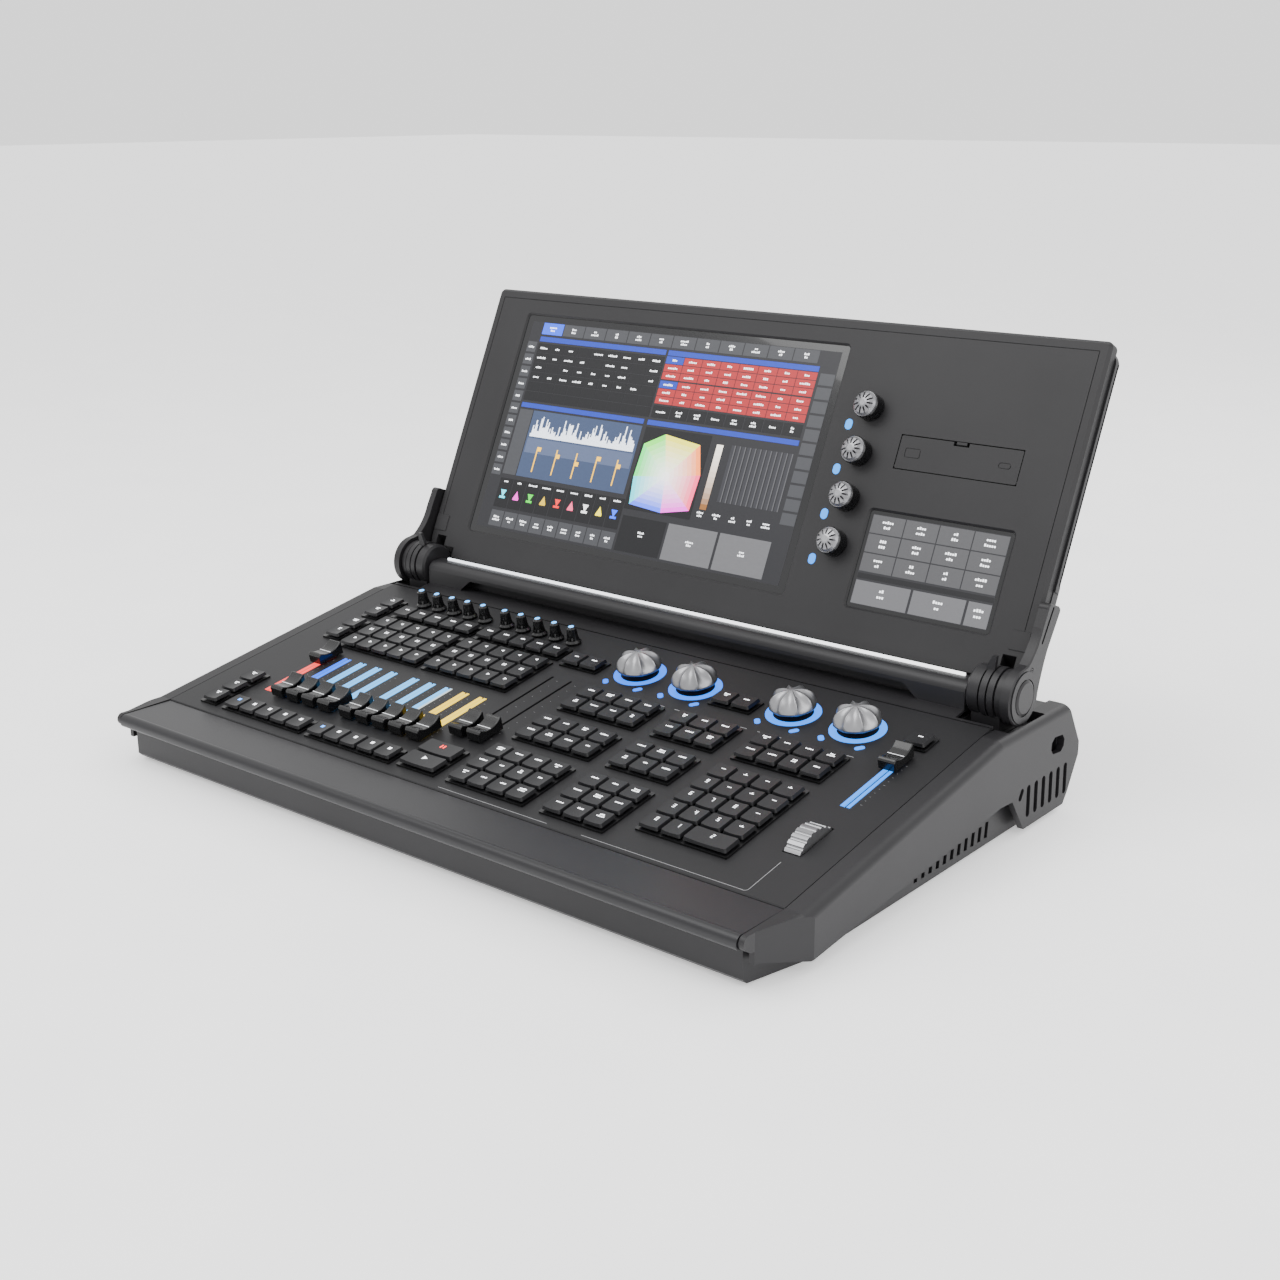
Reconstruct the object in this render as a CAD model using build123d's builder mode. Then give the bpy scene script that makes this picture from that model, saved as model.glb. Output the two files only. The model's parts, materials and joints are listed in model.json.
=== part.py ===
from build123d import *

import os
from math import cos, radians, sin, tan

# Lighting control desk with a hinged display lid.
# Origin: centre of the overall box on the floor. +X right, +Y back, +Z up. Millimetres.

# ---------------------------------------------------------------- driving dimensions
# Desk body. Heights below are above the datum line, the lower edge of the tray's front wall.
PANEL_FRONT_Y = -195.0  # front edge of the control panel, from the origin
DATUM_Z = 7.0  # datum line above the floor
FOOT_HEIGHT = 3.0
PANEL_TILT = 10.07  # degrees
PANEL_FRONT_Z = 35.7
PANEL_WIDTH = 640.4
PANEL_DEPTH = 265.0
PANEL_THICK = 3.0
CHEEK_OUTER = 338.0  # half width over the side mouldings
CHEEK_INNER = 320.8
CHEEK_SKIN = 5.0
TRAY_HALF = 328.0
SHEET = 2.0
NOSE_Y = -51.0
FRONT_WALL_Y = -38.6
REAR_WALL_Y = 351.0
DECK_Z = 78.0

# Lid. Its face leans back from the vertical, s runs up the face, n stands out of it.
LID_LEAN = 25.235
LID_FOOT_Y = 302.98
LID_FOOT_Z = 100.0
LID_HALF = 320.7
LID_BOTTOM_S = 3.0
LID_TOP_S = 275.0
BEZEL_DEPTH = 11.0
SHELL_HALF = 322.5
SHELL_TOP_S = 272.0
SHELL_DEPTH = 13.0
WALL = 2.5

# Hinge.
HINGE_Y = 292.5
HINGE_Z = 99.4
BARREL_RADIUS = 19.5
BARREL_INNER_X = 290.5
BARREL_OUTER_X = 320.2
DISC_RADIUS = 22.4
ARM_INNER_X = 321.4
ARM_OUTER_X = 329.5
DISC_OUTER_X = 331.5
PIN_RADIUS = 6.0
PIN_CLEARANCE = 0.05
RELIEF_RADIUS = 22.4
CAP_RADIUS = 13.6

# Controls, in the panel's own plane: x across, t up the slope, n out of it.
PLAYBACK_PITCH = 19.7
BANK_A_X = -252.1
BANK_B_X = -146.7
BANK_COLUMNS = 5
CROSSFADER_X = (-40.6, -20.6)
MASTER_X = 286.4
FADER_TRAVEL = 60.0
CROSSFADER_TRAVEL = 100.0
FADER_LOW_T = 59.5
CROSSFADER_LOW_T = 78.0
CROSSFADER_REST = 2.5  # rest position above the lower stop
MASTER_LOW_T = 129.0
SLOT_MARGIN = 7.5
CROSSFADER_MARGIN = 5.0
SLOT_WIDTH = 2.4
STRIP_HALF = 3.9
KNOB_T = 240.2
KNOB_HEIGHT = 16.2

KEY_PITCH = 19.5
KEY_SIZE = 17.6
KEY_BASE_N = 3.0
KEY_TOP_N = 5.8
KEY_DISH = 0.7
KEY_STEM = 5.0
STEM_END_N = -6.0
PLINTH_HEIGHT = 1.5
PLINTH_MARGIN = 1.9
STEM_HOLE = 7.0
WINDOW_INSET = 3.5

ENCODER_X = (22.3, 79.9, 175.2, 233.6)
ENCODER_T = 220.6
ENCODER_RADIUS = 18.8
ENCODER_BASE_N = 6.0
ENCODER_TOP_N = 20.0
ENCODER_FLUTES = 8
RING_INNER = 16.0
RING_OUTER = 22.0
PILL_OFFSET = (17.0, -24.2)
PILL_ANGLE = 50.0
PILL_LENGTH = 8.0
PILL_WIDTH = 4.6
SHAFT_RADIUS = 3.0
SHAFT_GAP = 0.5
FIT_GAP = 0.15  # between a light guide and its opening

WHEEL_X = 288.0
WHEEL_T = 74.0
WHEEL_N = -17.0
WHEEL_RADIUS = 26.0
WHEEL_WIDTH = 13.0
WHEEL_RIBS = 28

LID_ENCODER_X = 129.0
LID_ENCODER_S = (200.9, 162.3, 123.7, 85.1)
LID_ENCODER_RADIUS = 11.5
LID_ENCODER_HEIGHT = 12.5
LID_CAP_RADIUS = 10.3
LID_CAP_DOME = 4.5
LID_CAP_SLOTS = 11
LID_PILL_X = 111.2
LID_PILL_DROP = 15.8
LID_PILL_SIZE = (6.5, 9.0)

MAIN_SCREEN = (-274.5, 92.0, 35.5, 251.6)  # x from, x to, s from, s to
SIDE_SCREEN = (153.0, 283.0, 37.0, 118.0)
SCREEN_SINK = 2.0
SCREEN_THICK = 7.0
DOOR = (163.0, 273.5, 153.7, 182.8)
DOOR_GAP = 0.8
DOOR_THICK = 2.4
DOOR_PIN_S = 156.6
DOOR_PIN_RADIUS = 1.0
DOOR_NOTCH = (14.0, 4.0)

# ---------------------------------------------------------------- planes
tilt = radians(PANEL_TILT)
lean = radians(LID_LEAN)
SECTION = Plane(origin=(0, PANEL_FRONT_Y, DATUM_Z), x_dir=(0, 1, 0), z_dir=(1, 0, 0))
PLAN = Plane(origin=(0, PANEL_FRONT_Y, DATUM_Z), x_dir=(1, 0, 0), z_dir=(0, 0, 1))
FRONT = Plane(origin=(0, PANEL_FRONT_Y, DATUM_Z), x_dir=(1, 0, 0), z_dir=(0, -1, 0))
PANEL = Plane(
    origin=(0, PANEL_FRONT_Y, DATUM_Z + PANEL_FRONT_Z),
    x_dir=(1, 0, 0),
    z_dir=(0, -sin(tilt), cos(tilt)),
)
LID = Plane(
    origin=(0, PANEL_FRONT_Y + LID_FOOT_Y, DATUM_Z + LID_FOOT_Z),
    x_dir=(1, 0, 0),
    z_dir=(0, -cos(lean), sin(lean)),
)
HINGE = Plane(
    origin=(0, PANEL_FRONT_Y + HINGE_Y, DATUM_Z + HINGE_Z),
    x_dir=(0, 1, 0),
    z_dir=(1, 0, 0),
)
LID_HINGE_S = (HINGE_Y - LID_FOOT_Y) * sin(lean) + (HINGE_Z - LID_FOOT_Z) * cos(lean)
LID_HINGE_N = -(HINGE_Y - LID_FOOT_Y) * cos(lean) + (HINGE_Z - LID_FOOT_Z) * sin(lean)

os.makedirs("parts", exist_ok=True)


def save(name, shape):
    """Label a finished piece and write it as its own STEP file."""
    shape.label = name
    export_step(shape, f"parts/{name}.step")


def panel_height(y):
    """Height of the panel's top face above the datum at a distance behind its front edge."""
    return PANEL_FRONT_Z + y * tan(tilt)


# ---------------------------------------------------------------- where the controls sit
playback_x = [BANK_A_X + i * PLAYBACK_PITCH for i in range(BANK_COLUMNS)]
playback_x += [BANK_B_X + i * PLAYBACK_PITCH for i in range(BANK_COLUMNS)]


def bank(first_x, first_t, columns, rows, pitch=KEY_PITCH):
    """Key centres of a block, counted from its front left key."""
    return [(first_x + i * pitch, first_t + j * pitch) for j in range(rows) for i in range(columns)]


def plinth_box(keys, width=KEY_SIZE):
    """Centre and size of the plinth under a block of keys."""
    xs = [x for x, t in keys]
    ts = [t for x, t in keys]
    size_x = max(xs) - min(xs) + width + 2 * PLINTH_MARGIN
    size_t = max(ts) - min(ts) + KEY_SIZE + 2 * PLINTH_MARGIN
    return ((max(xs) + min(xs)) / 2, (max(ts) + min(ts)) / 2, size_x, size_t)


FLASH_T = 20.5
SELECT_T = 217.4
PLAYBACK_T = 152.5
SIDE_KEY_X = -281.3
WIDE_KEY = KEY_PITCH + KEY_SIZE
flash_blocks = [
    bank(BANK_A_X, FLASH_T, BANK_COLUMNS, 1, PLAYBACK_PITCH),
    bank(BANK_B_X, FLASH_T, BANK_COLUMNS, 1, PLAYBACK_PITCH),
]
playback_blocks = [
    bank(BANK_A_X, PLAYBACK_T, BANK_COLUMNS, 3, PLAYBACK_PITCH),
    bank(BANK_B_X, PLAYBACK_T, BANK_COLUMNS, 3, PLAYBACK_PITCH),
    bank(BANK_A_X, SELECT_T, BANK_COLUMNS, 1, PLAYBACK_PITCH),
    bank(BANK_B_X, SELECT_T, BANK_COLUMNS, 1, PLAYBACK_PITCH),
    bank(SIDE_KEY_X, 207.4, 1, 2),
    bank(SIDE_KEY_X, 160.0, 1, 2),
    bank(SIDE_KEY_X, 21.2, 1, 3),
]
transport_block = bank(-30.6, 22.5, 1, 2)
NUMBER_BANK = (184.8, 38.0)
number_block = bank(NUMBER_BANK[0], NUMBER_BANK[1], 4, 5)
wide_key_at = (NUMBER_BANK[0] + 2.5 * KEY_PITCH, NUMBER_BANK[1])
number_keys = [spot for spot in number_block if spot[1] > NUMBER_BANK[1] or spot[0] < 210]
programmer_blocks = [
    bank(12.6, 149.5, 4, 2),
    bank(12.6, 96.2, 4, 2),
    bank(12.6, 22.5, 4, 3),
    bank(108.0, 149.5, 3, 2),
    bank(108.0, 96.2, 3, 2),
    bank(108.0, 22.5, 3, 3),
    bank(184.8, 149.5, 4, 2),
    bank(-40.4, 212.0, 2, 1),
    bank(116.5, 212.0, 2, 1),
    bank(286.0, 222.0, 1, 1),
]
plinths = [plinth_box(block) for block in flash_blocks + playback_blocks + programmer_blocks]
plinths.append(plinth_box(number_block))
plinths.append(plinth_box(transport_block, WIDE_KEY))

# Each fader: name, x, lowest cap position, travel, cap height above the lowest at rest.
faders = [
    (f"playback_fader_{i + 1}", x, FADER_LOW_T, FADER_TRAVEL, FADER_TRAVEL if i == 0 else 0)
    for i, x in enumerate(playback_x)
]
faders += [
    (f"crossfader_{i + 1}", x, CROSSFADER_LOW_T, CROSSFADER_TRAVEL, CROSSFADER_REST)
    for i, x in enumerate(CROSSFADER_X)
]
faders.append(("master_fader", MASTER_X, MASTER_LOW_T, FADER_TRAVEL, FADER_TRAVEL))
lit_faders = [fader for fader in faders if fader[3] == FADER_TRAVEL]
dark_faders = [fader for fader in faders if fader[3] == CROSSFADER_TRAVEL]
pill_spots = [
    (x + side * PILL_OFFSET[0], ENCODER_T + PILL_OFFSET[1], side)
    for x in ENCODER_X
    for side in (-1, 1)
]

# ---------------------------------------------------------------- base tray
VENT_COUNT = 11
VENT_PITCH = 10.0
VENT_FIRST_Y = 148.5
TRAY_BOTTOM_Z = FOOT_HEIGHT - DATUM_Z
TRAY_WALL_Z = 24.0
TRAY_CORNER = (316.0, 12.0)  # x and y ends of the chamfered front corner

with BuildPart() as base_tray:
    with BuildSketch(PLAN.offset(TRAY_BOTTOM_Z)):
        with BuildLine():
            Polyline(
                (-TRAY_CORNER[0], FRONT_WALL_Y),
                (TRAY_CORNER[0], FRONT_WALL_Y),
                (TRAY_HALF, TRAY_CORNER[1]),
                (TRAY_HALF, REAR_WALL_Y - 4),
                (-TRAY_HALF, REAR_WALL_Y - 4),
                (-TRAY_HALF, TRAY_CORNER[1]),
                close=True,
            )
        make_face()
    extrude(amount=TRAY_WALL_Z - TRAY_BOTTOM_Z)
    front_edge = base_tray.edges().filter_by(Axis.X).group_by(Axis.Z)[0].sort_by(Axis.Y)[0]
    chamfer(front_edge, 3.5)
    offset(amount=-SHEET, openings=base_tray.faces().sort_by(Axis.Z)[-1])
    for i in range(VENT_COUNT):
        height = 3 + 9.5 * i / (VENT_COUNT - 1)
        with BuildSketch(Plane.YZ):
            with Locations((PANEL_FRONT_Y + VENT_FIRST_Y + i * VENT_PITCH, DATUM_Z + 1.5 + height / 2)):
                Rectangle(4.6, height, rotation=-6)
        extrude(amount=TRAY_HALF + 5, both=True, mode=Mode.SUBTRACT)
    with BuildSketch(PLAN.offset(TRAY_BOTTOM_Z)):
        with GridLocations(120, 60, 3, 2):
            SlotOverall(40, 4)
    extrude(amount=SHEET, mode=Mode.SUBTRACT)
save("base_tray", base_tray.part)

# ---------------------------------------------------------------- rubber feet
with BuildPart() as rubber_feet:
    with Locations(PLAN.offset(-DATUM_Z)):
        with Locations((-285, -12), (285, -12), (-285, 325), (285, 325), (0, -12), (0, 325)):
            Cylinder(11, FOOT_HEIGHT, align=(Align.CENTER, Align.CENTER, Align.MIN))
    chamfer(rubber_feet.faces().group_by(Axis.Z)[0].edges(), 0.8)
save("rubber_feet", rubber_feet.part)

# ---------------------------------------------------------------- wrist rest
WRIST_HALF = 319.8

with BuildPart() as wrist_rest:
    with BuildSketch(SECTION):
        with BuildLine():
            top = Line((-0.6, 34.9), (-44, 34.9))
            nose = ThreePointArc((-44, 34.9), (NOSE_Y + 0.8, 32.6), (NOSE_Y, 28.6))
            under = ThreePointArc((NOSE_Y, 28.6), (NOSE_Y + 1.6, 25.4), (-45.8, 24.6))
            Polyline((-45.8, 24.6), (-34, 24.6), (-0.6, 29.5), (-0.6, 34.9))
        make_face()
    extrude(amount=WRIST_HALF, both=True)
save("wrist_rest", wrist_rest.part)

# ---------------------------------------------------------------- side mouldings
CHEEK_NOTCH = ((250.0, 27.0), (268.0, 26.0), (288.5, -2.5))
CHEEK_CHAMFER_X = 325.0
CHEEK_CHAMFER_Y = 8.0
SHOULDER = 7.0
REAR_VENTS = 6
REAR_VENT_PITCH = 12.0
REAR_VENT_Y = 293.5
HINGE_POCKET = (266.5, 322.0, 71.5)  # y from, y to, floor height


def make_cheek():
    """The right-hand side moulding: an outer skin with a closed top, open inside and below."""
    with BuildPart() as cheek:
        with BuildSketch(SECTION.offset(CHEEK_INNER)):
            with BuildLine():
                Line((-34, 12.6), (FRONT_WALL_Y, 12.6))
                Line((FRONT_WALL_Y, 12.6), (FRONT_WALL_Y, 22))
                ThreePointArc((FRONT_WALL_Y, 22), (-44.5, 23.6), (-48.5, 26.5))
                ThreePointArc((-48.5, 26.5), (-50, 31.5), (-44, 35.2))
                Polyline(
                    (-44, 35.2),
                    (0, PANEL_FRONT_Z),
                    (248, panel_height(248)),
                    (353, 79.5),
                    (374.5, 43.5),
                    (374.5, 32.8),
                    (359.5, 6.2),
                    (353, -2.5),
                    CHEEK_NOTCH[2],
                    CHEEK_NOTCH[1],
                    CHEEK_NOTCH[0],
                    (6, 1.4),
                    (-34, 12.6),
                )
            make_face()
        extrude(amount=CHEEK_OUTER - CHEEK_INNER)
        top_edges = cheek.faces().sort_by(Axis.X)[-1].edges().filter_by(
            lambda edge: edge.center().Z > DATUM_Z + 33 and edge.center().Y > PANEL_FRONT_Y - 40
        )
        fillet(top_edges.filter_by(lambda edge: edge.center().Y < PANEL_FRONT_Y + 353), SHOULDER)
        # Plan chamfer at the front corner.
        with BuildSketch(PLAN.offset(-10)):
            with BuildLine():
                Polyline(
                    (CHEEK_CHAMFER_X, FRONT_WALL_Y - 30),
                    (CHEEK_CHAMFER_X, FRONT_WALL_Y),
                    (CHEEK_OUTER, CHEEK_CHAMFER_Y),
                    (CHEEK_OUTER + 20, CHEEK_CHAMFER_Y),
                    (CHEEK_OUTER + 20, FRONT_WALL_Y - 30),
                    close=True,
                )
            make_face()
        extrude(amount=60, mode=Mode.SUBTRACT)
        # Inside pocket, leaving the skin, the top and the ends.
        with BuildSketch(SECTION.offset(CHEEK_INNER)):
            with BuildLine():
                Polyline(
                    (22, -10),
                    (22, panel_height(22) - 7),
                    (248, panel_height(248) - 10),
                    (347, 68),
                    (347, -10),
                    close=True,
                )
            make_face()
        extrude(amount=CHEEK_OUTER - CHEEK_INNER - CHEEK_SKIN, mode=Mode.SUBTRACT)
        # Clear of the tray's side wall and chamfered corner.
        with BuildSketch(PLAN.offset(-20)):
            with BuildLine():
                Polyline(
                    (300, FRONT_WALL_Y - 0.4),
                    (TRAY_CORNER[0] + 0.4, FRONT_WALL_Y - 0.4),
                    (TRAY_HALF + 0.4, TRAY_CORNER[1] - 0.4),
                    (TRAY_HALF + 0.4, REAR_WALL_Y),
                    (300, REAR_WALL_Y),
                    close=True,
                )
            make_face()
        extrude(amount=20 + TRAY_WALL_Z + 0.4, mode=Mode.SUBTRACT)
        # Pocket for the hinge disc.
        with BuildSketch(SECTION.offset(CHEEK_INNER - 1)):
            with Locations(((HINGE_POCKET[0] + HINGE_POCKET[1]) / 2, HINGE_POCKET[2])):
                Rectangle(
                    HINGE_POCKET[1] - HINGE_POCKET[0], 40, align=(Align.CENTER, Align.MIN)
                )
        extrude(amount=DISC_OUTER_X + 1.5 - CHEEK_INNER + 1, mode=Mode.SUBTRACT)
        # Exhaust slots in the rear block and the small slanted one in front of them.
        with BuildSketch(SECTION.offset(CHEEK_OUTER)):
            for i in range(REAR_VENTS):
                with Locations((REAR_VENT_Y + i * REAR_VENT_PITCH, 19)):
                    SlotOverall(26, 5.6, rotation=92)
            with Locations((281.5, 27.5)):
                SlotOverall(10, 5, rotation=60)
        extrude(amount=-CHEEK_SKIN - 1, mode=Mode.SUBTRACT)
        # Security slot in the upper rear corner.
        with BuildSketch(SECTION.offset(CHEEK_OUTER)) as security_slot:
            with Locations((337.5, 51.5)):
                Rectangle(21, 13.5, rotation=-6)
            chamfer(security_slot.vertices(), 4)
        extrude(amount=-CHEEK_SKIN - 1, mode=Mode.SUBTRACT)
    return cheek.part


right_cheek = make_cheek()
left_cheek = mirror(right_cheek, about=Plane.YZ)
save("right_cheek", right_cheek)
save("left_cheek", left_cheek)

# ---------------------------------------------------------------- rear cover and rear wall
COVER_FRONT_Y = 262.5
COVER_STEP_Y = (279.0, 303.0, 310.0)
BRIDGE_FOOT_Z = 84.8
WELL = (288.6, 320.2, 265.0, 316.5)  # x from, x to, y from, y to
WELL_FLOOR_Z = 72.0
SCREW_X = (-300.0, -228.0, -45.0, 62.0, 170.0, 300.0)
SCREW_Z = (30.0, 66.0)
REAR = Plane(
    origin=(0, PANEL_FRONT_Y + REAR_WALL_Y, DATUM_Z), x_dir=(-1, 0, 0), z_dir=(0, 1, 0)
)
INLET = (255.0, 38.0)  # distances along the rear wall, towards -X, and heights
XLR_AT = [(190.0 - i * 38.0, 40.0) for i in range(4)]
NETWORK_AT = [(22.0, 36.0), (0.0, 36.0)]
USB_AT = [(-95.0, 36.0), (-118.0, 36.0)]
INLET_SIZE = (27.5, 20.5)
XLR_RADIUS = 11.8
NETWORK_SIZE = (15.5, 13.5)
USB_SIZE = (15.5, 9.5)

with BuildPart() as rear_cover:
    with BuildSketch(SECTION):
        with BuildLine():
            Polyline(
                (COVER_FRONT_Y, panel_height(COVER_FRONT_Y) - SHEET),
                (COVER_FRONT_Y, panel_height(COVER_FRONT_Y)),
                (COVER_STEP_Y[0] - 1.5, BRIDGE_FOOT_Z),
                (COVER_STEP_Y[1], BRIDGE_FOOT_Z),
                (COVER_STEP_Y[2], DECK_Z),
                (REAR_WALL_Y, DECK_Z),
                (REAR_WALL_Y, TRAY_BOTTOM_Z),
                (REAR_WALL_Y - SHEET, TRAY_BOTTOM_Z),
                (REAR_WALL_Y - SHEET, DECK_Z - SHEET),
                (COVER_STEP_Y[2] - 1, DECK_Z - SHEET),
                (COVER_STEP_Y[1] - 1, BRIDGE_FOOT_Z - SHEET),
                (COVER_STEP_Y[0] - 1, BRIDGE_FOOT_Z - SHEET),
                close=True,
            )
        make_face()
    extrude(amount=PANEL_WIDTH / 2, both=True)
    for side in (-1, 1):
        well_x = side * (WELL[0] + WELL[1]) / 2
        well_y = (WELL[2] + WELL[3]) / 2
        with BuildSketch(PLAN.offset(WELL_FLOOR_Z - SHEET)):
            with Locations((well_x - side * SHEET / 2, well_y)):
                Rectangle(WELL[1] - WELL[0] + SHEET, WELL[3] - WELL[2] + 2 * SHEET)
        extrude(amount=9)
        with BuildSketch(PLAN.offset(WELL_FLOOR_Z)):
            with Locations((well_x, well_y)):
                Rectangle(WELL[1] - WELL[0], WELL[3] - WELL[2])
        extrude(amount=20, mode=Mode.SUBTRACT)
    with BuildSketch(REAR):
        with Locations(INLET):
            Rectangle(*INLET_SIZE)
        with Locations(*XLR_AT):
            Circle(XLR_RADIUS)
        with Locations(*NETWORK_AT):
            Rectangle(*NETWORK_SIZE)
        with Locations(*USB_AT):
            Rectangle(*USB_SIZE)
        with Locations(*[(-x, z) for x in SCREW_X for z in SCREW_Z]):
            Circle(1.7)
    extrude(amount=-SHEET, mode=Mode.SUBTRACT)
save("rear_cover", rear_cover.part)

# ---------------------------------------------------------------- rear connectors
SOCKET_DEPTH = 14.0


def socket_shell(size, mouth, depth):
    """A rectangular socket: a body behind the wall with an open mouth, on the rear plane."""
    with BuildPart() as socket:
        with BuildSketch(Plane.XY.offset(-depth - 2)):
            Rectangle(size[0] - 0.4, size[1] - 0.4)
        extrude(amount=depth + 3)
        with BuildSketch(Plane.XY.offset(1)):
            Rectangle(*mouth)
        extrude(amount=-depth, mode=Mode.SUBTRACT)
    return socket.part


with BuildPart() as xlr_socket:
    Cylinder(XLR_RADIUS - 0.2, 18, align=(Align.CENTER, Align.CENTER, Align.MAX))
    with BuildSketch():
        RectangleRounded(26, 31, 3)
    extrude(amount=1.6)
    with BuildSketch(Plane.XY.offset(1.6)):
        Circle(9.5)
        Circle(8.6, mode=Mode.SUBTRACT)
    extrude(amount=-4, mode=Mode.SUBTRACT)
    with BuildSketch(Plane.XY.offset(1.6)):
        with PolarLocations(5.2, 5, start_angle=18):
            Circle(1.1)
    extrude(amount=-8, mode=Mode.SUBTRACT)

inlet = socket_shell(INLET_SIZE, (23.5, 16.0), SOCKET_DEPTH)
network = socket_shell(NETWORK_SIZE, (12.0, 9.5), SOCKET_DEPTH)
usb = socket_shell(USB_SIZE, (13.0, 5.8), SOCKET_DEPTH)

with BuildPart(REAR) as rear_connectors:
    with Locations(INLET):
        add(inlet)
    with Locations(*XLR_AT):
        add(xlr_socket.part)
    with Locations(*NETWORK_AT):
        add(network)
    with Locations(*USB_AT):
        add(usb)
save("rear_connectors", rear_connectors.part)

with BuildPart() as pan_screw:
    Cylinder(3.0, 1.9, align=(Align.CENTER, Align.CENTER, Align.MIN))
    fillet(pan_screw.faces().sort_by(Axis.Z)[-1].edges(), 1.2)
    Cylinder(1.5, 7, align=(Align.CENTER, Align.CENTER, Align.MAX))
    with BuildSketch(Plane.XY.offset(1.9)):
        Rectangle(3.2, 0.7)
        Rectangle(0.7, 3.2)
    extrude(amount=-0.9, mode=Mode.SUBTRACT)

with BuildPart(REAR) as casing_screws:
    with Locations(*[(-x, z) for x in SCREW_X for z in SCREW_Z]):
        add(pan_screw.part)
save("casing_screws", casing_screws.part)

# ---------------------------------------------------------------- hinge bridge and its lamp
BRIDGE_FRONT_Y = 278.0
BRIDGE_BACK_Y = 299.5
BRIDGE_TOP_Z = 106.0
BRIDGE_HALF = 288.3
RECESS_TOP_Z = 95.5
RECESS_BACK_Y = 290.5
RECESS_HALF = (247.0, 234.0)
LAMP_HALF = 279.0
LAMP_Y = 294.8

with BuildPart() as hinge_bridge:
    with BuildSketch(SECTION):
        with BuildLine():
            Line((BRIDGE_FRONT_Y, BRIDGE_FOOT_Z), (BRIDGE_FRONT_Y, 98.5))
            ThreePointArc((BRIDGE_FRONT_Y, 98.5), (280.4, 103.6), (286, BRIDGE_TOP_Z))
            Line((286, BRIDGE_TOP_Z), (296, BRIDGE_TOP_Z))
            ThreePointArc((296, BRIDGE_TOP_Z), (298.5, 104.9), (BRIDGE_BACK_Y, 102.4))
            Polyline(
                (BRIDGE_BACK_Y, 102.4),
                (BRIDGE_BACK_Y, BRIDGE_FOOT_Z),
                (BRIDGE_FRONT_Y, BRIDGE_FOOT_Z),
            )
        make_face()
    extrude(amount=BRIDGE_HALF, both=True)
    with BuildSketch(FRONT.offset(-BRIDGE_FRONT_Y)) as recess:
        with BuildLine():
            Polyline(
                (-RECESS_HALF[0], BRIDGE_FOOT_Z),
                (-RECESS_HALF[1], RECESS_TOP_Z),
                (RECESS_HALF[1], RECESS_TOP_Z),
                (RECESS_HALF[0], BRIDGE_FOOT_Z),
                close=True,
            )
        make_face()
        fillet(recess.vertices().group_by(Axis.Y)[-1], 5)
    extrude(amount=-(RECESS_BACK_Y - BRIDGE_FRONT_Y), mode=Mode.SUBTRACT)
    with BuildSketch(PLAN.offset(BRIDGE_TOP_Z)):
        with Locations((0, LAMP_Y)):
            Rectangle(2 * LAMP_HALF + 0.4, 3.4)
    extrude(amount=-2.5, mode=Mode.SUBTRACT)
save("hinge_bridge", hinge_bridge.part)

with BuildPart() as bridge_lamp:
    with BuildSketch(PLAN.offset(BRIDGE_TOP_Z - 2.4)):
        with Locations((0, LAMP_Y)):
            SlotOverall(2 * LAMP_HALF, 3)
    extrude(amount=4)
save("bridge_lamp", bridge_lamp.part)

# ---------------------------------------------------------------- hinge barrels with their pins
RING_STEPS = ((301.0, 302.6), (307.6, 309.0), (314.0, 315.4))
RING_RADIUS = 20.2
TAB_X = 304.4

with BuildPart() as barrel:
    with BuildSketch(Plane.XZ):
        with BuildLine():
            Polyline(
                (BARREL_INNER_X, 0),
                (BARREL_INNER_X, BARREL_RADIUS - 2),
                (BARREL_INNER_X + 2, BARREL_RADIUS),
                (RING_STEPS[0][0], BARREL_RADIUS),
                (RING_STEPS[0][0], BARREL_RADIUS - 2),
                (RING_STEPS[0][1], BARREL_RADIUS - 2),
                (RING_STEPS[0][1], RING_RADIUS),
                (RING_STEPS[1][0], RING_RADIUS),
                (RING_STEPS[1][0], BARREL_RADIUS - 2),
                (RING_STEPS[1][1], BARREL_RADIUS - 2),
                (RING_STEPS[1][1], RING_RADIUS),
                (RING_STEPS[2][0], RING_RADIUS),
                (RING_STEPS[2][0], BARREL_RADIUS - 2),
                (RING_STEPS[2][1], BARREL_RADIUS - 2),
                (RING_STEPS[2][1], BARREL_RADIUS),
                (BARREL_OUTER_X, BARREL_RADIUS),
                (BARREL_OUTER_X, PIN_RADIUS),
                (DISC_OUTER_X - 2.6, PIN_RADIUS),
                (DISC_OUTER_X - 2.0, PIN_RADIUS - 0.6),
                (DISC_OUTER_X - 2.0, 0),
                close=True,
            )
        make_face()
    revolve(axis=Axis.X)
    with BuildSketch(Plane.XY.offset(-(HINGE_Z - WELL_FLOOR_Z))):
        with Locations((305.5, 0)):
            Rectangle(24, 26)
    extrude(amount=HINGE_Z - WELL_FLOOR_Z - 8)
    # Tapered stop tab standing on the first ring.
    with BuildSketch(Plane.XZ.offset(4)):
        with BuildLine():
            Polyline(
                (TAB_X - 3.4, 15), (TAB_X - 3.4, 21), (TAB_X + 1.2, 30), (TAB_X + 4.8, 30),
                (TAB_X + 3.0, 15), close=True,
            )
        make_face()
    extrude(amount=3.2)

with BuildPart() as hinge_barrels:
    with Locations((0, PANEL_FRONT_Y + HINGE_Y, DATUM_Z + HINGE_Z)):
        add(barrel.part)
    mirror(about=Plane.YZ)
save("hinge_barrels", hinge_barrels.part)

# ---------------------------------------------------------------- control panel
GROOVE_DEPTH = 1.5
WHEEL_OPENING = 15.4


def strip_length(fader):
    """Length of the slot that a fader's stem runs in."""
    margin = SLOT_MARGIN if fader[3] == FADER_TRAVEL else CROSSFADER_MARGIN
    return fader[3] + 2 * margin


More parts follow.
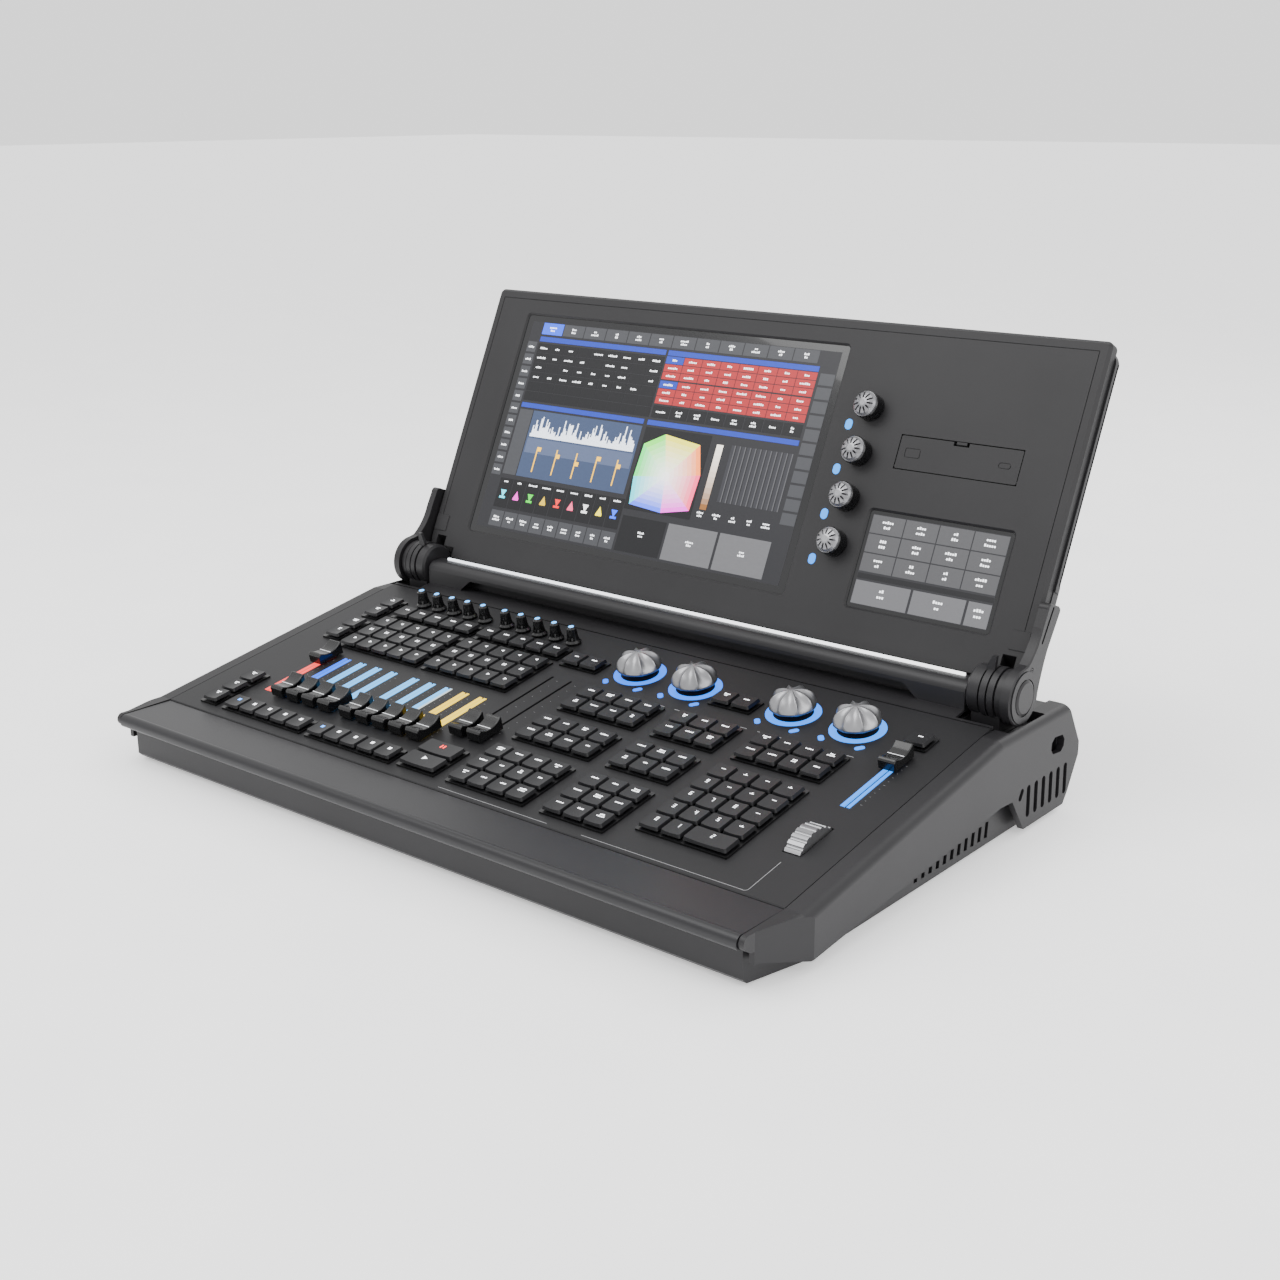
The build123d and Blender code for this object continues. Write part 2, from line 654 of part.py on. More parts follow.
def strip_centre(fader):
    """Middle of a fader's slot on the panel."""
    return (fader[1], fader[2] + fader[3] / 2)


with BuildPart(PANEL) as control_panel:
    with BuildSketch(PANEL):
        with Locations((0, PANEL_DEPTH / 2)):
            Rectangle(PANEL_WIDTH, PANEL_DEPTH)
        for x, t, size_x, size_t in plinths:
            with Locations((x, t)):
                Rectangle(size_x - 2 * WINDOW_INSET, size_t - 2 * WINDOW_INSET, mode=Mode.SUBTRACT)
        for fader in faders:
            with Locations(strip_centre(fader)):
                SlotOverall(strip_length(fader) + 1, SLOT_WIDTH, rotation=90, mode=Mode.SUBTRACT)
        with Locations(*[(x, KNOB_T) for x in playback_x], *[(x, ENCODER_T) for x in ENCODER_X]):
            Circle(SHAFT_RADIUS + SHAFT_GAP, mode=Mode.SUBTRACT)
    extrude(amount=-PANEL_THICK)
    with Locations((WHEEL_X, WHEEL_T, WHEEL_N)):
        Cylinder(WHEEL_RADIUS + 0.6, WHEEL_OPENING, rotation=(0, 90, 0), mode=Mode.SUBTRACT)
    with BuildSketch(PANEL):
        with Locations(*[(x, ENCODER_T) for x in ENCODER_X]):
            Circle(RING_OUTER + FIT_GAP)
            Circle(RING_INNER - FIT_GAP, mode=Mode.SUBTRACT)
        for x, t, side in pill_spots:
            with Locations((x, t)):
                SlotOverall(
                    PILL_LENGTH + 2 * FIT_GAP, PILL_WIDTH + 2 * FIT_GAP, rotation=side * PILL_ANGLE
                )
        for fader in lit_faders:
            with Locations(strip_centre(fader)):
                Rectangle(2 * (STRIP_HALF + FIT_GAP), strip_length(fader) + 2 * FIT_GAP)
    extrude(amount=-GROOVE_DEPTH, mode=Mode.SUBTRACT)
    chamfer(control_panel.faces().sort_by(Axis.Y)[0].edges().sort_by(Axis.Z)[-1], 0.8)
save("control_panel", control_panel.part)

# ---------------------------------------------------------------- light guides in the panel
GUIDE_PROUD = 0.35
STRIP_NOTCH = 3.0

with BuildPart() as light_guides:
    with BuildSketch(PANEL.offset(FIT_GAP - GROOVE_DEPTH)):
        with Locations(*[(x, ENCODER_T) for x in ENCODER_X]):
            Circle(RING_OUTER)
            Circle(RING_INNER, mode=Mode.SUBTRACT)
        for x, t, side in pill_spots:
            with Locations((x, t)):
                SlotOverall(PILL_LENGTH, PILL_WIDTH, rotation=side * PILL_ANGLE)
        for fader in lit_faders:
            length = strip_length(fader)
            with Locations(strip_centre(fader)):
                Rectangle(2 * STRIP_HALF, length)
                Rectangle(SLOT_WIDTH, length, mode=Mode.SUBTRACT)
            with Locations((fader[1], strip_centre(fader)[1] + length / 2 + 0.2)):
                Triangle(
                    a=2 * STRIP_HALF - 1,
                    B=45,
                    C=45,
                    rotation=180,
                    align=(Align.CENTER, Align.MAX),
                    mode=Mode.SUBTRACT,
                )
    extrude(amount=GROOVE_DEPTH - FIT_GAP + GUIDE_PROUD)
save("light_guides", light_guides.part)

# ---------------------------------------------------------------- key plinths
stem_holes = [spot for block in flash_blocks + playback_blocks + programmer_blocks for spot in block]
stem_holes += number_keys + [wide_key_at] + transport_block

with BuildPart() as key_plinths:
    with BuildSketch(PANEL):
        for x, t, size_x, size_t in plinths:
            with Locations((x, t)):
                RectangleRounded(size_x, size_t, 1.2)
    extrude(amount=PLINTH_HEIGHT)
    with BuildSketch(PANEL):
        with Locations(*stem_holes):
            Rectangle(STEM_HOLE, STEM_HOLE)
    extrude(amount=PLINTH_HEIGHT, mode=Mode.SUBTRACT)
save("key_plinths", key_plinths.part)


# ---------------------------------------------------------------- keys
def key_cap(width):
    """A tapered key with a dished top and a square stem, standing on the panel at the origin."""
    dish_radius = (width / 2) ** 2 / (2 * KEY_DISH)
    with BuildPart() as key:
        with BuildSketch(Plane.XY.offset(KEY_BASE_N)):
            RectangleRounded(width, KEY_SIZE, 1.4)
        with BuildSketch(Plane.XY.offset(KEY_TOP_N)):
            RectangleRounded(width - 1.8, KEY_SIZE - 1.8, 1.4)
        loft()
        with Locations((0, 0, KEY_TOP_N + dish_radius - KEY_DISH)):
            Cylinder(dish_radius, KEY_SIZE + 2, rotation=(90, 0, 0), mode=Mode.SUBTRACT)
        with BuildSketch(Plane.XY.offset(KEY_BASE_N)):
            Rectangle(KEY_STEM, KEY_STEM)
        extrude(amount=STEM_END_N - KEY_BASE_N)
    return key.part


single_key = key_cap(KEY_SIZE)
wide_key = key_cap(WIDE_KEY)


def placed(shape, plane, spots=((0, 0),)):
    """Copies of a shape standing on a plane at the given spots."""
    with BuildPart(plane) as copies:
        with Locations(*spots):
            add(shape)
    return copies.part


save("flash_keys", placed(single_key, PANEL, [spot for block in flash_blocks for spot in block]))
save("playback_keys", placed(single_key, PANEL, [spot for block in playback_blocks for spot in block]))
save("transport_keys", placed(wide_key, PANEL, transport_block))

with BuildPart(PANEL) as programmer_keys:
    with Locations(*[spot for block in programmer_blocks for spot in block], *number_keys):
        add(single_key)
    with Locations(wide_key_at):
        add(wide_key)
save("programmer_keys", programmer_keys.part)

# ---------------------------------------------------------------- faders
CAP_WIDTH = 14.5
CAP_BASE_N = 1.5
CAP_WAIST_N = 7.8
STEM_THICK = 1.2
CARRIAGE_N = (-10.0, -7.0)

with BuildPart() as fader_shape:
    with BuildSketch(Plane.YZ):
        with BuildLine():
            Line((-13.0, CAP_BASE_N), (-13.4, 7.0))
            ThreePointArc((-13.4, 7.0), (-12.6, 9.6), (-10.6, 10.6))
            ThreePointArc((-10.6, 10.6), (0.0, CAP_WAIST_N), (11.2, 12.0))
            ThreePointArc((11.2, 12.0), (12.7, 11.9), (13.0, 10.6))
            Line((13.0, 10.6), (13.4, CAP_BASE_N))
            Line((13.4, CAP_BASE_N), (-13.0, CAP_BASE_N))
        make_face()
    extrude(amount=CAP_WIDTH / 2, both=True)
    side_edges = fader_shape.faces().filter_by(Axis.X).edges()
    fillet(side_edges.filter_by(lambda edge: edge.center().Z > CAP_BASE_N + 1), 0.8)
    with BuildSketch(Plane.XY.offset(CAP_BASE_N)):
        Rectangle(CAP_WIDTH - 3, 23)
    extrude(amount=4, mode=Mode.SUBTRACT)
    with BuildSketch(Plane.XY.offset(CAP_WAIST_N - 1)):
        Rectangle(STEM_THICK, 8)
    extrude(amount=CARRIAGE_N[1] - CAP_WAIST_N + 1)
    with BuildSketch(Plane.XY.offset(CARRIAGE_N[0])):
        Rectangle(2.2, 12)
    extrude(amount=CARRIAGE_N[1] - CARRIAGE_N[0])

for name, x, low_t, travel, rest in faders:
    save(name, placed(fader_shape.part, PANEL, [(x, low_t + rest)]))

# ---------------------------------------------------------------- playback knobs
with BuildPart() as knob_shape:
    with BuildSketch(Plane.XZ):
        with BuildLine():
            Polyline(
                (0, CAP_BASE_N - 0.5),
                (7.0, CAP_BASE_N - 0.5),
                (7.0, 2.2),
                (5.6, 4.0),
                (4.9, 7.0),
                (4.2, KNOB_HEIGHT - 1.8),
                (3.4, KNOB_HEIGHT - 0.8),
                (2.8, KNOB_HEIGHT - 0.2),
                (0, KNOB_HEIGHT),
                close=True,
            )
        make_face()
    revolve(axis=Axis.Z)
    with BuildSketch(Plane.XY.offset(4)):
        with PolarLocations(5.7, 10):
            Circle(1.0)
    extrude(amount=9, mode=Mode.SUBTRACT)
    with BuildSketch(Plane.XY.offset(CAP_BASE_N - 0.5)):
        Circle(SHAFT_RADIUS)
    extrude(amount=-9.5)

for i, x in enumerate(playback_x):
    save(f"playback_knob_{i + 1}", placed(knob_shape.part, PANEL, [(x, KNOB_T)]))

# ---------------------------------------------------------------- main encoders
FLUTE_RADIUS = 4.6
FLUTE_REACH = 20.6

with BuildPart() as encoder_shape:
    with BuildSketch(Plane.XZ):
        with BuildLine():
            Polyline(
                (0, 0.8),
                (15.0, 0.8),
                (15.0, ENCODER_BASE_N),
                (ENCODER_RADIUS, ENCODER_BASE_N),
                (ENCODER_RADIUS - 0.3, 10.5),
                (16.9, 14.4),
                (13.6, 17.4),
                (9.0, 19.4),
                (4.5, ENCODER_TOP_N),
                (0, ENCODER_TOP_N),
                (0, 0.8),
            )
        make_face()
    revolve(axis=Axis.Z)
    with BuildSketch(Plane.XY.offset(ENCODER_BASE_N - 1)):
        with PolarLocations(FLUTE_REACH, ENCODER_FLUTES, start_angle=22.5):
            Circle(FLUTE_RADIUS)
    extrude(amount=ENCODER_TOP_N, mode=Mode.SUBTRACT)
    with BuildSketch(Plane.XY.offset(0.8)):
        Circle(SHAFT_RADIUS)
    extrude(amount=-10)

for i, x in enumerate(ENCODER_X):
    save(f"main_encoder_{i + 1}", placed(encoder_shape.part, PANEL, [(x, ENCODER_T)]))

# ---------------------------------------------------------------- scroll wheel
with BuildPart() as wheel_shape:
    with BuildSketch(Plane.YZ):
        Circle(WHEEL_RADIUS)
        with PolarLocations(WHEEL_RADIUS + 0.5, WHEEL_RIBS):
            Circle(1.6, mode=Mode.SUBTRACT)
    extrude(amount=WHEEL_WIDTH / 2, both=True)
    with BuildSketch(Plane.YZ):
        Circle(SHAFT_RADIUS)
    extrude(amount=WHEEL_WIDTH / 2 + 5, both=True)
save("scroll_wheel", placed(wheel_shape.part, PANEL.offset(WHEEL_N), [(WHEEL_X, WHEEL_T)]))

# ---------------------------------------------------------------- control units under the panel
TRACK_WIDTH = 12.0
TRACK_DEPTH = 10.5
TRACK_GROOVE = 3.6


def fader_track(travel):
    """The body of a slide fader under the panel: a channel that its carriage runs in."""
    with BuildPart() as track:
        with BuildSketch(Plane.XY.offset(-PANEL_THICK)):
            Rectangle(TRACK_WIDTH, travel + 26)
        extrude(amount=-TRACK_DEPTH)
        with BuildSketch(Plane.XY.offset(-PANEL_THICK)):
            Rectangle(TRACK_GROOVE, travel + 18)
        extrude(amount=-TRACK_DEPTH + 2, mode=Mode.SUBTRACT)
    return track.part


def encoder_body(size):
    """A square encoder body hanging under the panel with a bore for its shaft."""
    with BuildPart() as body:
        with BuildSketch(Plane.XY.offset(-PANEL_THICK)):
            RectangleRounded(size, size, 1)
            Circle(SHAFT_RADIUS + SHAFT_GAP, mode=Mode.SUBTRACT)
        extrude(amount=-6.5)
        with BuildSketch(Plane.XY.offset(-PANEL_THICK - 7.5)):
            RectangleRounded(size, size, 1)
        extrude(amount=-2)
        with BuildSketch(Plane.XY.offset(-PANEL_THICK - 6.5)):
            RectangleRounded(size, size, 1)
            Circle(SHAFT_RADIUS + SHAFT_GAP, mode=Mode.SUBTRACT)
        extrude(amount=-1)
    return body.part


with BuildPart() as wheel_bracket:
    with BuildSketch(Plane.YZ):
        with BuildLine():
            Polyline((-12, -WHEEL_N - PANEL_THICK), (12, -WHEEL_N - PANEL_THICK), (7, -8), (-7, -8), close=True)
        make_face()
        Circle(SHAFT_RADIUS + SHAFT_GAP, mode=Mode.SUBTRACT)
    extrude(amount=WHEEL_WIDTH / 2 + 3.5, both=True)
    with BuildSketch(Plane.YZ):
        Rectangle(80, 80)
    extrude(amount=WHEEL_WIDTH / 2 + 1.5, both=True, mode=Mode.SUBTRACT)

track_60 = fader_track(FADER_TRAVEL)
track_100 = fader_track(CROSSFADER_TRAVEL)
large_body = encoder_body(14)
small_body = encoder_body(11)
with BuildPart(PANEL) as control_units:
    with Locations(*[strip_centre(fader) for fader in lit_faders]):
        add(track_60)
    with Locations(*[strip_centre(fader) for fader in dark_faders]):
        add(track_100)
    with Locations(*[(x, ENCODER_T) for x in ENCODER_X]):
        add(large_body)
    with Locations(*[(x, KNOB_T) for x in playback_x]):
        add(small_body)
    with Locations((WHEEL_X, WHEEL_T, WHEEL_N)):
        add(wheel_bracket.part)
save("control_units", control_units.part)

# ---------------------------------------------------------------- main board and power supply
BOARD_N = -17.0

with BuildPart() as main_board:
    with BuildSketch(PANEL.offset(BOARD_N)):
        with Locations((-20, 132)):
            Rectangle(560, 236)
    extrude(amount=1.6)
    with BuildSketch(PANEL.offset(BOARD_N)):
        with Locations((-120, 150), (0, 190), (120, 140)):
            RectangleRounded(34, 34, 1)
        with Locations((-40, 120), (60, 110), (180, 190), (-200, 120)):
            Rectangle(18, 12)
    extrude(amount=-2.4)
save("main_board", main_board.part)

with BuildPart() as power_supply:
    with BuildSketch(PLAN.offset(TRAY_BOTTOM_Z + SHEET)):
        with Locations((-205, 250)):
            RectangleRounded(160, 98, 2)
    extrude(amount=36)
    chamfer(power_supply.faces().sort_by(Axis.Z)[-1].edges(), 1)
    with BuildSketch(PLAN.offset(TRAY_BOTTOM_Z + SHEET + 36)):
        with Locations((-205, 250)):
            with GridLocations(12, 60, 9, 1):
                SlotOverall(60, 5, rotation=90)
    extrude(amount=-2, mode=Mode.SUBTRACT)
save("power_supply", power_supply.part)

# ---------------------------------------------------------------- lid bezel
LID_SIDE = Plane(origin=LID.origin, x_dir=LID.y_dir, z_dir=(1, 0, 0))  # s and n across it
LID_OUT = Axis(LID.origin, LID.z_dir)
LID_CORNER = (20.0, 5.0)  # corner radii below and above
EDGE_CHAMFER = 2.5
WINDOW_BEVEL = 1.6
WINDOW_CORNER = 3.0
SEAM_X = 312.0
SEAM_TOP_S = LID_TOP_S - 8.7
SEAM_BOTTOM_S = 45.0
SEAM_WIDTH = 0.6
NOTCH_X = (299.4, 311.0)
NOTCH_RADIUS = 31.3
RELIEF_FROM_X = 286.0
BLOCK_TOP_S = 32.0  # solid corner blocks of the lid end here
LID_BOSS_RADIUS = 6.0
POCKET_DEPTH = 4.6
POCKET_RIM = 3.0
DOOR_FACE_N = -0.2
DOOR_PIN_N = -1.4
PIN_REACH = 2.4


def centre(span):
    """Middle of an (x from, x to, s from, s to) span on the lid."""
    return ((span[0] + span[1]) / 2, (span[2] + span[3]) / 2)


def size(span, grow=0.0):
    """Width and height of a span on the lid, each side moved out by a margin."""
    return (span[1] - span[0] + 2 * grow, span[3] - span[2] + 2 * grow)


# Space swept by the hinge barrels and their tabs, cut from the lid.
with BuildPart() as hinge_relief:
    for side in (-1, 1):
        with BuildSketch(HINGE.offset(side * RELIEF_FROM_X)):
            Circle(RELIEF_RADIUS)
        extrude(amount=side * 50)
        with BuildSketch(HINGE.offset(side * NOTCH_X[0])):
            Circle(NOTCH_RADIUS)
        extrude(amount=side * (NOTCH_X[1] - NOTCH_X[0]))

with BuildPart() as lid_bezel:
    with BuildSketch(LID) as outline:
        with Locations((0, (LID_BOTTOM_S + LID_TOP_S) / 2)):
            Rectangle(2 * LID_HALF, LID_TOP_S - LID_BOTTOM_S)
        fillet(outline.vertices().group_by(Axis.Y)[0], LID_CORNER[0])
        fillet(outline.vertices().group_by(Axis.Y)[-1], LID_CORNER[1])
    extrude(amount=-BEZEL_DEPTH)
    chamfer(lid_bezel.faces().sort_by(LID_OUT)[-1].edges(), EDGE_CHAMFER)
    with BuildSketch(LID):
        for window in (MAIN_SCREEN, SIDE_SCREEN):
            with Locations(centre(window)):
                RectangleRounded(*size(window), WINDOW_CORNER)
    extrude(amount=-BEZEL_DEPTH, mode=Mode.SUBTRACT)
    bezel_face = lid_bezel.faces().sort_by(LID_OUT)[-1]
    chamfer([edge for wire in bezel_face.inner_wires() for edge in wire.edges()], WINDOW_BEVEL)
    # Hollow back.
    with BuildSketch(LID.offset(-WALL)):
        with Locations((0, (BLOCK_TOP_S + LID_TOP_S - 6) / 2)):
            Rectangle(2 * (LID_HALF - 6), LID_TOP_S - 6 - BLOCK_TOP_S)
        with Locations((0, 22)):
            Rectangle(560, 30)
    extrude(amount=-BEZEL_DEPTH, mode=Mode.SUBTRACT)
    # Encoder bosses and the drive bay behind the door.
    with BuildSketch(LID.offset(-1)):
        with Locations(*[(LID_ENCODER_X, s) for s in LID_ENCODER_S]):
            Circle(LID_BOSS_RADIUS)
    extrude(amount=1 - BEZEL_DEPTH)
    with BuildSketch(LID.offset(-1)):
        with Locations(centre(DOOR)):
            Rectangle(*size(DOOR, POCKET_RIM))
    extrude(amount=-POCKET_DEPTH - 1)
    with BuildSketch(LID):
        with Locations(*[(LID_ENCODER_X, s) for s in LID_ENCODER_S]):
            Circle(SHAFT_RADIUS + SHAFT_GAP)
    extrude(amount=-BEZEL_DEPTH, mode=Mode.SUBTRACT)
    with BuildSketch(LID):
        with Locations(*[(LID_PILL_X, s - LID_PILL_DROP) for s in LID_ENCODER_S]):
            SlotOverall(LID_PILL_SIZE[1] + 2 * FIT_GAP, LID_PILL_SIZE[0] + 2 * FIT_GAP, rotation=90)
    extrude(amount=-GROOVE_DEPTH, mode=Mode.SUBTRACT)
    with BuildSketch(LID):
        with Locations(centre(DOOR)):
            Rectangle(*size(DOOR))
    extrude(amount=-POCKET_DEPTH, mode=Mode.SUBTRACT)
    with BuildSketch(LID.offset(-POCKET_DEPTH)):
        with Locations(*[(x, centre(DOOR)[1] + 2) for x in (190, 214)]):
            Rectangle(13.5, 6)
    extrude(amount=-2, mode=Mode.SUBTRACT)
    # Ledge that the closed door rests on, and the catch in the door's finger notch.
    with BuildSketch(LID.offset(-POCKET_DEPTH)):
        for x in (DOOR[0] + 6, DOOR[1] - 6):
            with Locations((x, DOOR[3] - 1.5)):
                Rectangle(12, 3)
        with Locations((centre(DOOR)[0], DOOR[3] - 1.5)):
            Rectangle(DOOR_NOTCH[0] - 5, 3)
    extrude(amount=POCKET_DEPTH + DOOR_FACE_N - DOOR_THICK - 0.1)
    with BuildSketch(LID.offset(-POCKET_DEPTH)):
        with Locations((centre(DOOR)[0], DOOR[3] - 1.5)):
            Rectangle(DOOR_NOTCH[0] - 5, 2.2)
    extrude(amount=POCKET_DEPTH - 0.4)
    with Locations(LID):
        with Locations((centre(DOOR)[0], DOOR_PIN_S, DOOR_PIN_N)):
            Cylinder(
                DOOR_PIN_RADIUS + PIN_CLEARANCE,
                size(DOOR)[0] + 2 * PIN_REACH,
                rotation=(0, 90, 0),
                mode=Mode.SUBTRACT,
            )
    # Seams near the side and top edges, and a raised pad below each side seam.
    with BuildSketch(LID):
        for side in (-1, 1):
            with Locations((side * SEAM_X, (SEAM_BOTTOM_S + SEAM_TOP_S) / 2)):
                Rectangle(SEAM_WIDTH, SEAM_TOP_S - SEAM_BOTTOM_S)
        with Locations((0, SEAM_TOP_S)):
            Rectangle(2 * SEAM_X, SEAM_WIDTH)
    extrude(amount=-0.7, mode=Mode.SUBTRACT)
    with BuildSketch(LID.offset(-0.5)):
        for side in (-1, 1):
            with Locations((side * 310.2, 37)):
                Rectangle(15.8, 16)
    extrude(amount=1.3, taper=20)
    add(hinge_relief.part, mode=Mode.SUBTRACT)
save("lid_bezel", lid_bezel.part)

# ---------------------------------------------------------------- lid back shell
SHELL_BOTTOM_S = 5.0
SHELL_ROUND = 8.0
ARM_SEAT_S = 80.0
SIDE_GROOVE = (84.0, 262.0, -18.0)  # s from, s to, n of its middle
BACK_VENTS = 14

with BuildPart() as lid_back_shell:
    with BuildSketch(LID.offset(-BEZEL_DEPTH)) as outline:
        with Locations((0, (SHELL_BOTTOM_S + SHELL_TOP_S) / 2)):
            Rectangle(2 * SHELL_HALF, SHELL_TOP_S - SHELL_BOTTOM_S)
        fillet(outline.vertices().group_by(Axis.Y)[0], LID_CORNER[0])
        fillet(outline.vertices().group_by(Axis.Y)[-1], LID_CORNER[1] + SHELL_ROUND)
    extrude(amount=-SHELL_DEPTH)
    fillet(lid_back_shell.faces().sort_by(LID_OUT)[0].edges(), SHELL_ROUND)
    with BuildSketch(LID.offset(-BEZEL_DEPTH)):
        with Locations((0, (BLOCK_TOP_S + SHELL_TOP_S - 10) / 2)):
            Rectangle(2 * (SHELL_HALF - 8), SHELL_TOP_S - 10 - BLOCK_TOP_S)
        with Locations((0, 26)):
            Rectangle(560, 24)
    extrude(amount=WALL - SHELL_DEPTH, mode=Mode.SUBTRACT)
    for side in (-1, 1):
        with BuildSketch(LID_SIDE.offset(side * (SHELL_HALF + 1))):
            with Locations(((SIDE_GROOVE[0] + SIDE_GROOVE[1]) / 2, SIDE_GROOVE[2])):
                SlotOverall(SIDE_GROOVE[1] - SIDE_GROOVE[0], 7)
        extrude(amount=-side * 4, mode=Mode.SUBTRACT)
        with BuildSketch(LID_SIDE.offset(side * ARM_INNER_X)):
            with Locations((0, -20)):
                Rectangle(2 * ARM_SEAT_S, 60)
        extrude(amount=side * 5, mode=Mode.SUBTRACT)
    with BuildSketch(LID.offset(-BEZEL_DEPTH - SHELL_DEPTH)):
        for x in (-180, 180):
            with Locations((x, 150)):
                with GridLocations(9, 70, BACK_VENTS, 2):
                    SlotOverall(56, 4, rotation=90)
    extrude(amount=WALL, mode=Mode.SUBTRACT)
    add(hinge_relief.part, mode=Mode.SUBTRACT)
save("lid_back_shell", lid_back_shell.part)


# ---------------------------------------------------------------- displays
def display(span):
    """A flat display whose glass stands in the bezel's window."""
    with BuildPart() as panel:
        with BuildSketch(LID.offset(-WALL)):
            with Locations(centre(span)):
                Rectangle(*size(span, 4))
        extrude(amount=-SCREEN_THICK + SCREEN_SINK)
        with BuildSketch(LID.offset(-WALL)):
            with Locations(centre(span)):
                RectangleRounded(*size(span, -FIT_GAP), WINDOW_CORNER)
        extrude(amount=WALL - SCREEN_SINK)
    return panel.part


save("main_display", display(MAIN_SCREEN))
save("side_display", display(SIDE_SCREEN))

# ---------------------------------------------------------------- light pills on the lid
with BuildPart() as lid_light_pills:
    with BuildSketch(LID.offset(FIT_GAP - GROOVE_DEPTH)):
        with Locations(*[(LID_PILL_X, s - LID_PILL_DROP) for s in LID_ENCODER_S]):
            SlotOverall(LID_PILL_SIZE[1], LID_PILL_SIZE[0], rotation=90)
    extrude(amount=GROOVE_DEPTH - FIT_GAP + GUIDE_PROUD)
save("lid_light_pills", lid_light_pills.part)

# ---------------------------------------------------------------- lid encoders
with BuildPart() as lid_encoder_shape:
    with BuildSketch(Plane.XZ):
        with BuildLine():
            Polyline(
                (0, 0.7),
                (LID_ENCODER_RADIUS, 0.7),
                (LID_ENCODER_RADIUS, LID_ENCODER_HEIGHT - 0.8),
                (LID_ENCODER_RADIUS - 0.8, LID_ENCODER_HEIGHT),
                (LID_CAP_RADIUS, LID_ENCODER_HEIGHT),
                (LID_CAP_RADIUS, LID_ENCODER_HEIGHT + 0.8),
                (8.6, LID_ENCODER_HEIGHT + 2.4),
                (6.0, LID_ENCODER_HEIGHT + 3.7),
                (2.6, LID_ENCODER_HEIGHT + LID_CAP_DOME),
                (0, LID_ENCODER_HEIGHT + LID_CAP_DOME),
                (0, 0.7),
            )
        make_face()
    revolve(axis=Axis.Z)
    with BuildSketch(Plane.XY.offset(LID_ENCODER_HEIGHT + LID_CAP_DOME)):
        with PolarLocations(6.4, LID_CAP_SLOTS):
            SlotOverall(5.2, 1.5)
    extrude(amount=-LID_CAP_DOME + 0.8, mode=Mode.SUBTRACT)
    with BuildSketch(Plane.XY.offset(0.7)):
        Circle(SHAFT_RADIUS)
    extrude(amount=-BEZEL_DEPTH + 1)

for i, s in enumerate(LID_ENCODER_S):
    save(f"lid_encoder_{i + 1}", placed(lid_encoder_shape.part, LID, [(LID_ENCODER_X, s)]))

# ---------------------------------------------------------------- drive door
with BuildPart() as drive_door:
    with BuildSketch(LID.offset(DOOR_FACE_N)):
        with Locations(centre(DOOR)):
            RectangleRounded(*size(DOOR, -DOOR_GAP), 1.2)
        with Locations((centre(DOOR)[0], DOOR[3])):
            Rectangle(DOOR_NOTCH[0], 2 * DOOR_NOTCH[1], mode=Mode.SUBTRACT)
    extrude(amount=-DOOR_THICK)
    # Keyhole-shaped lock mark and a shallow outline on the left.
    with BuildSketch(LID.offset(DOOR_FACE_N)):
        with Locations((DOOR[1] - 14, centre(DOOR)[1])):
            SlotOverall(11, 5)
            SlotOverall(9.6, 3.6, mode=Mode.SUBTRACT)
        with Locations((DOOR[0] + 14, centre(DOOR)[1])):
            RectangleRounded(14, 8, 1.5)
            RectangleRounded(13, 7, 1.2, mode=Mode.SUBTRACT)
    extrude(amount=-0.5, mode=Mode.SUBTRACT)
    with Locations(LID):
        with Locations((centre(DOOR)[0], DOOR_PIN_S, DOOR_PIN_N)):
            Cylinder(DOOR_PIN_RADIUS, size(DOOR)[0] + 2 * PIN_REACH - 1, rotation=(0, 90, 0))
save("drive_door", drive_door.part)

# ---------------------------------------------------------------- hinge arms
ARM_SCREW = (303.0, 118.0)

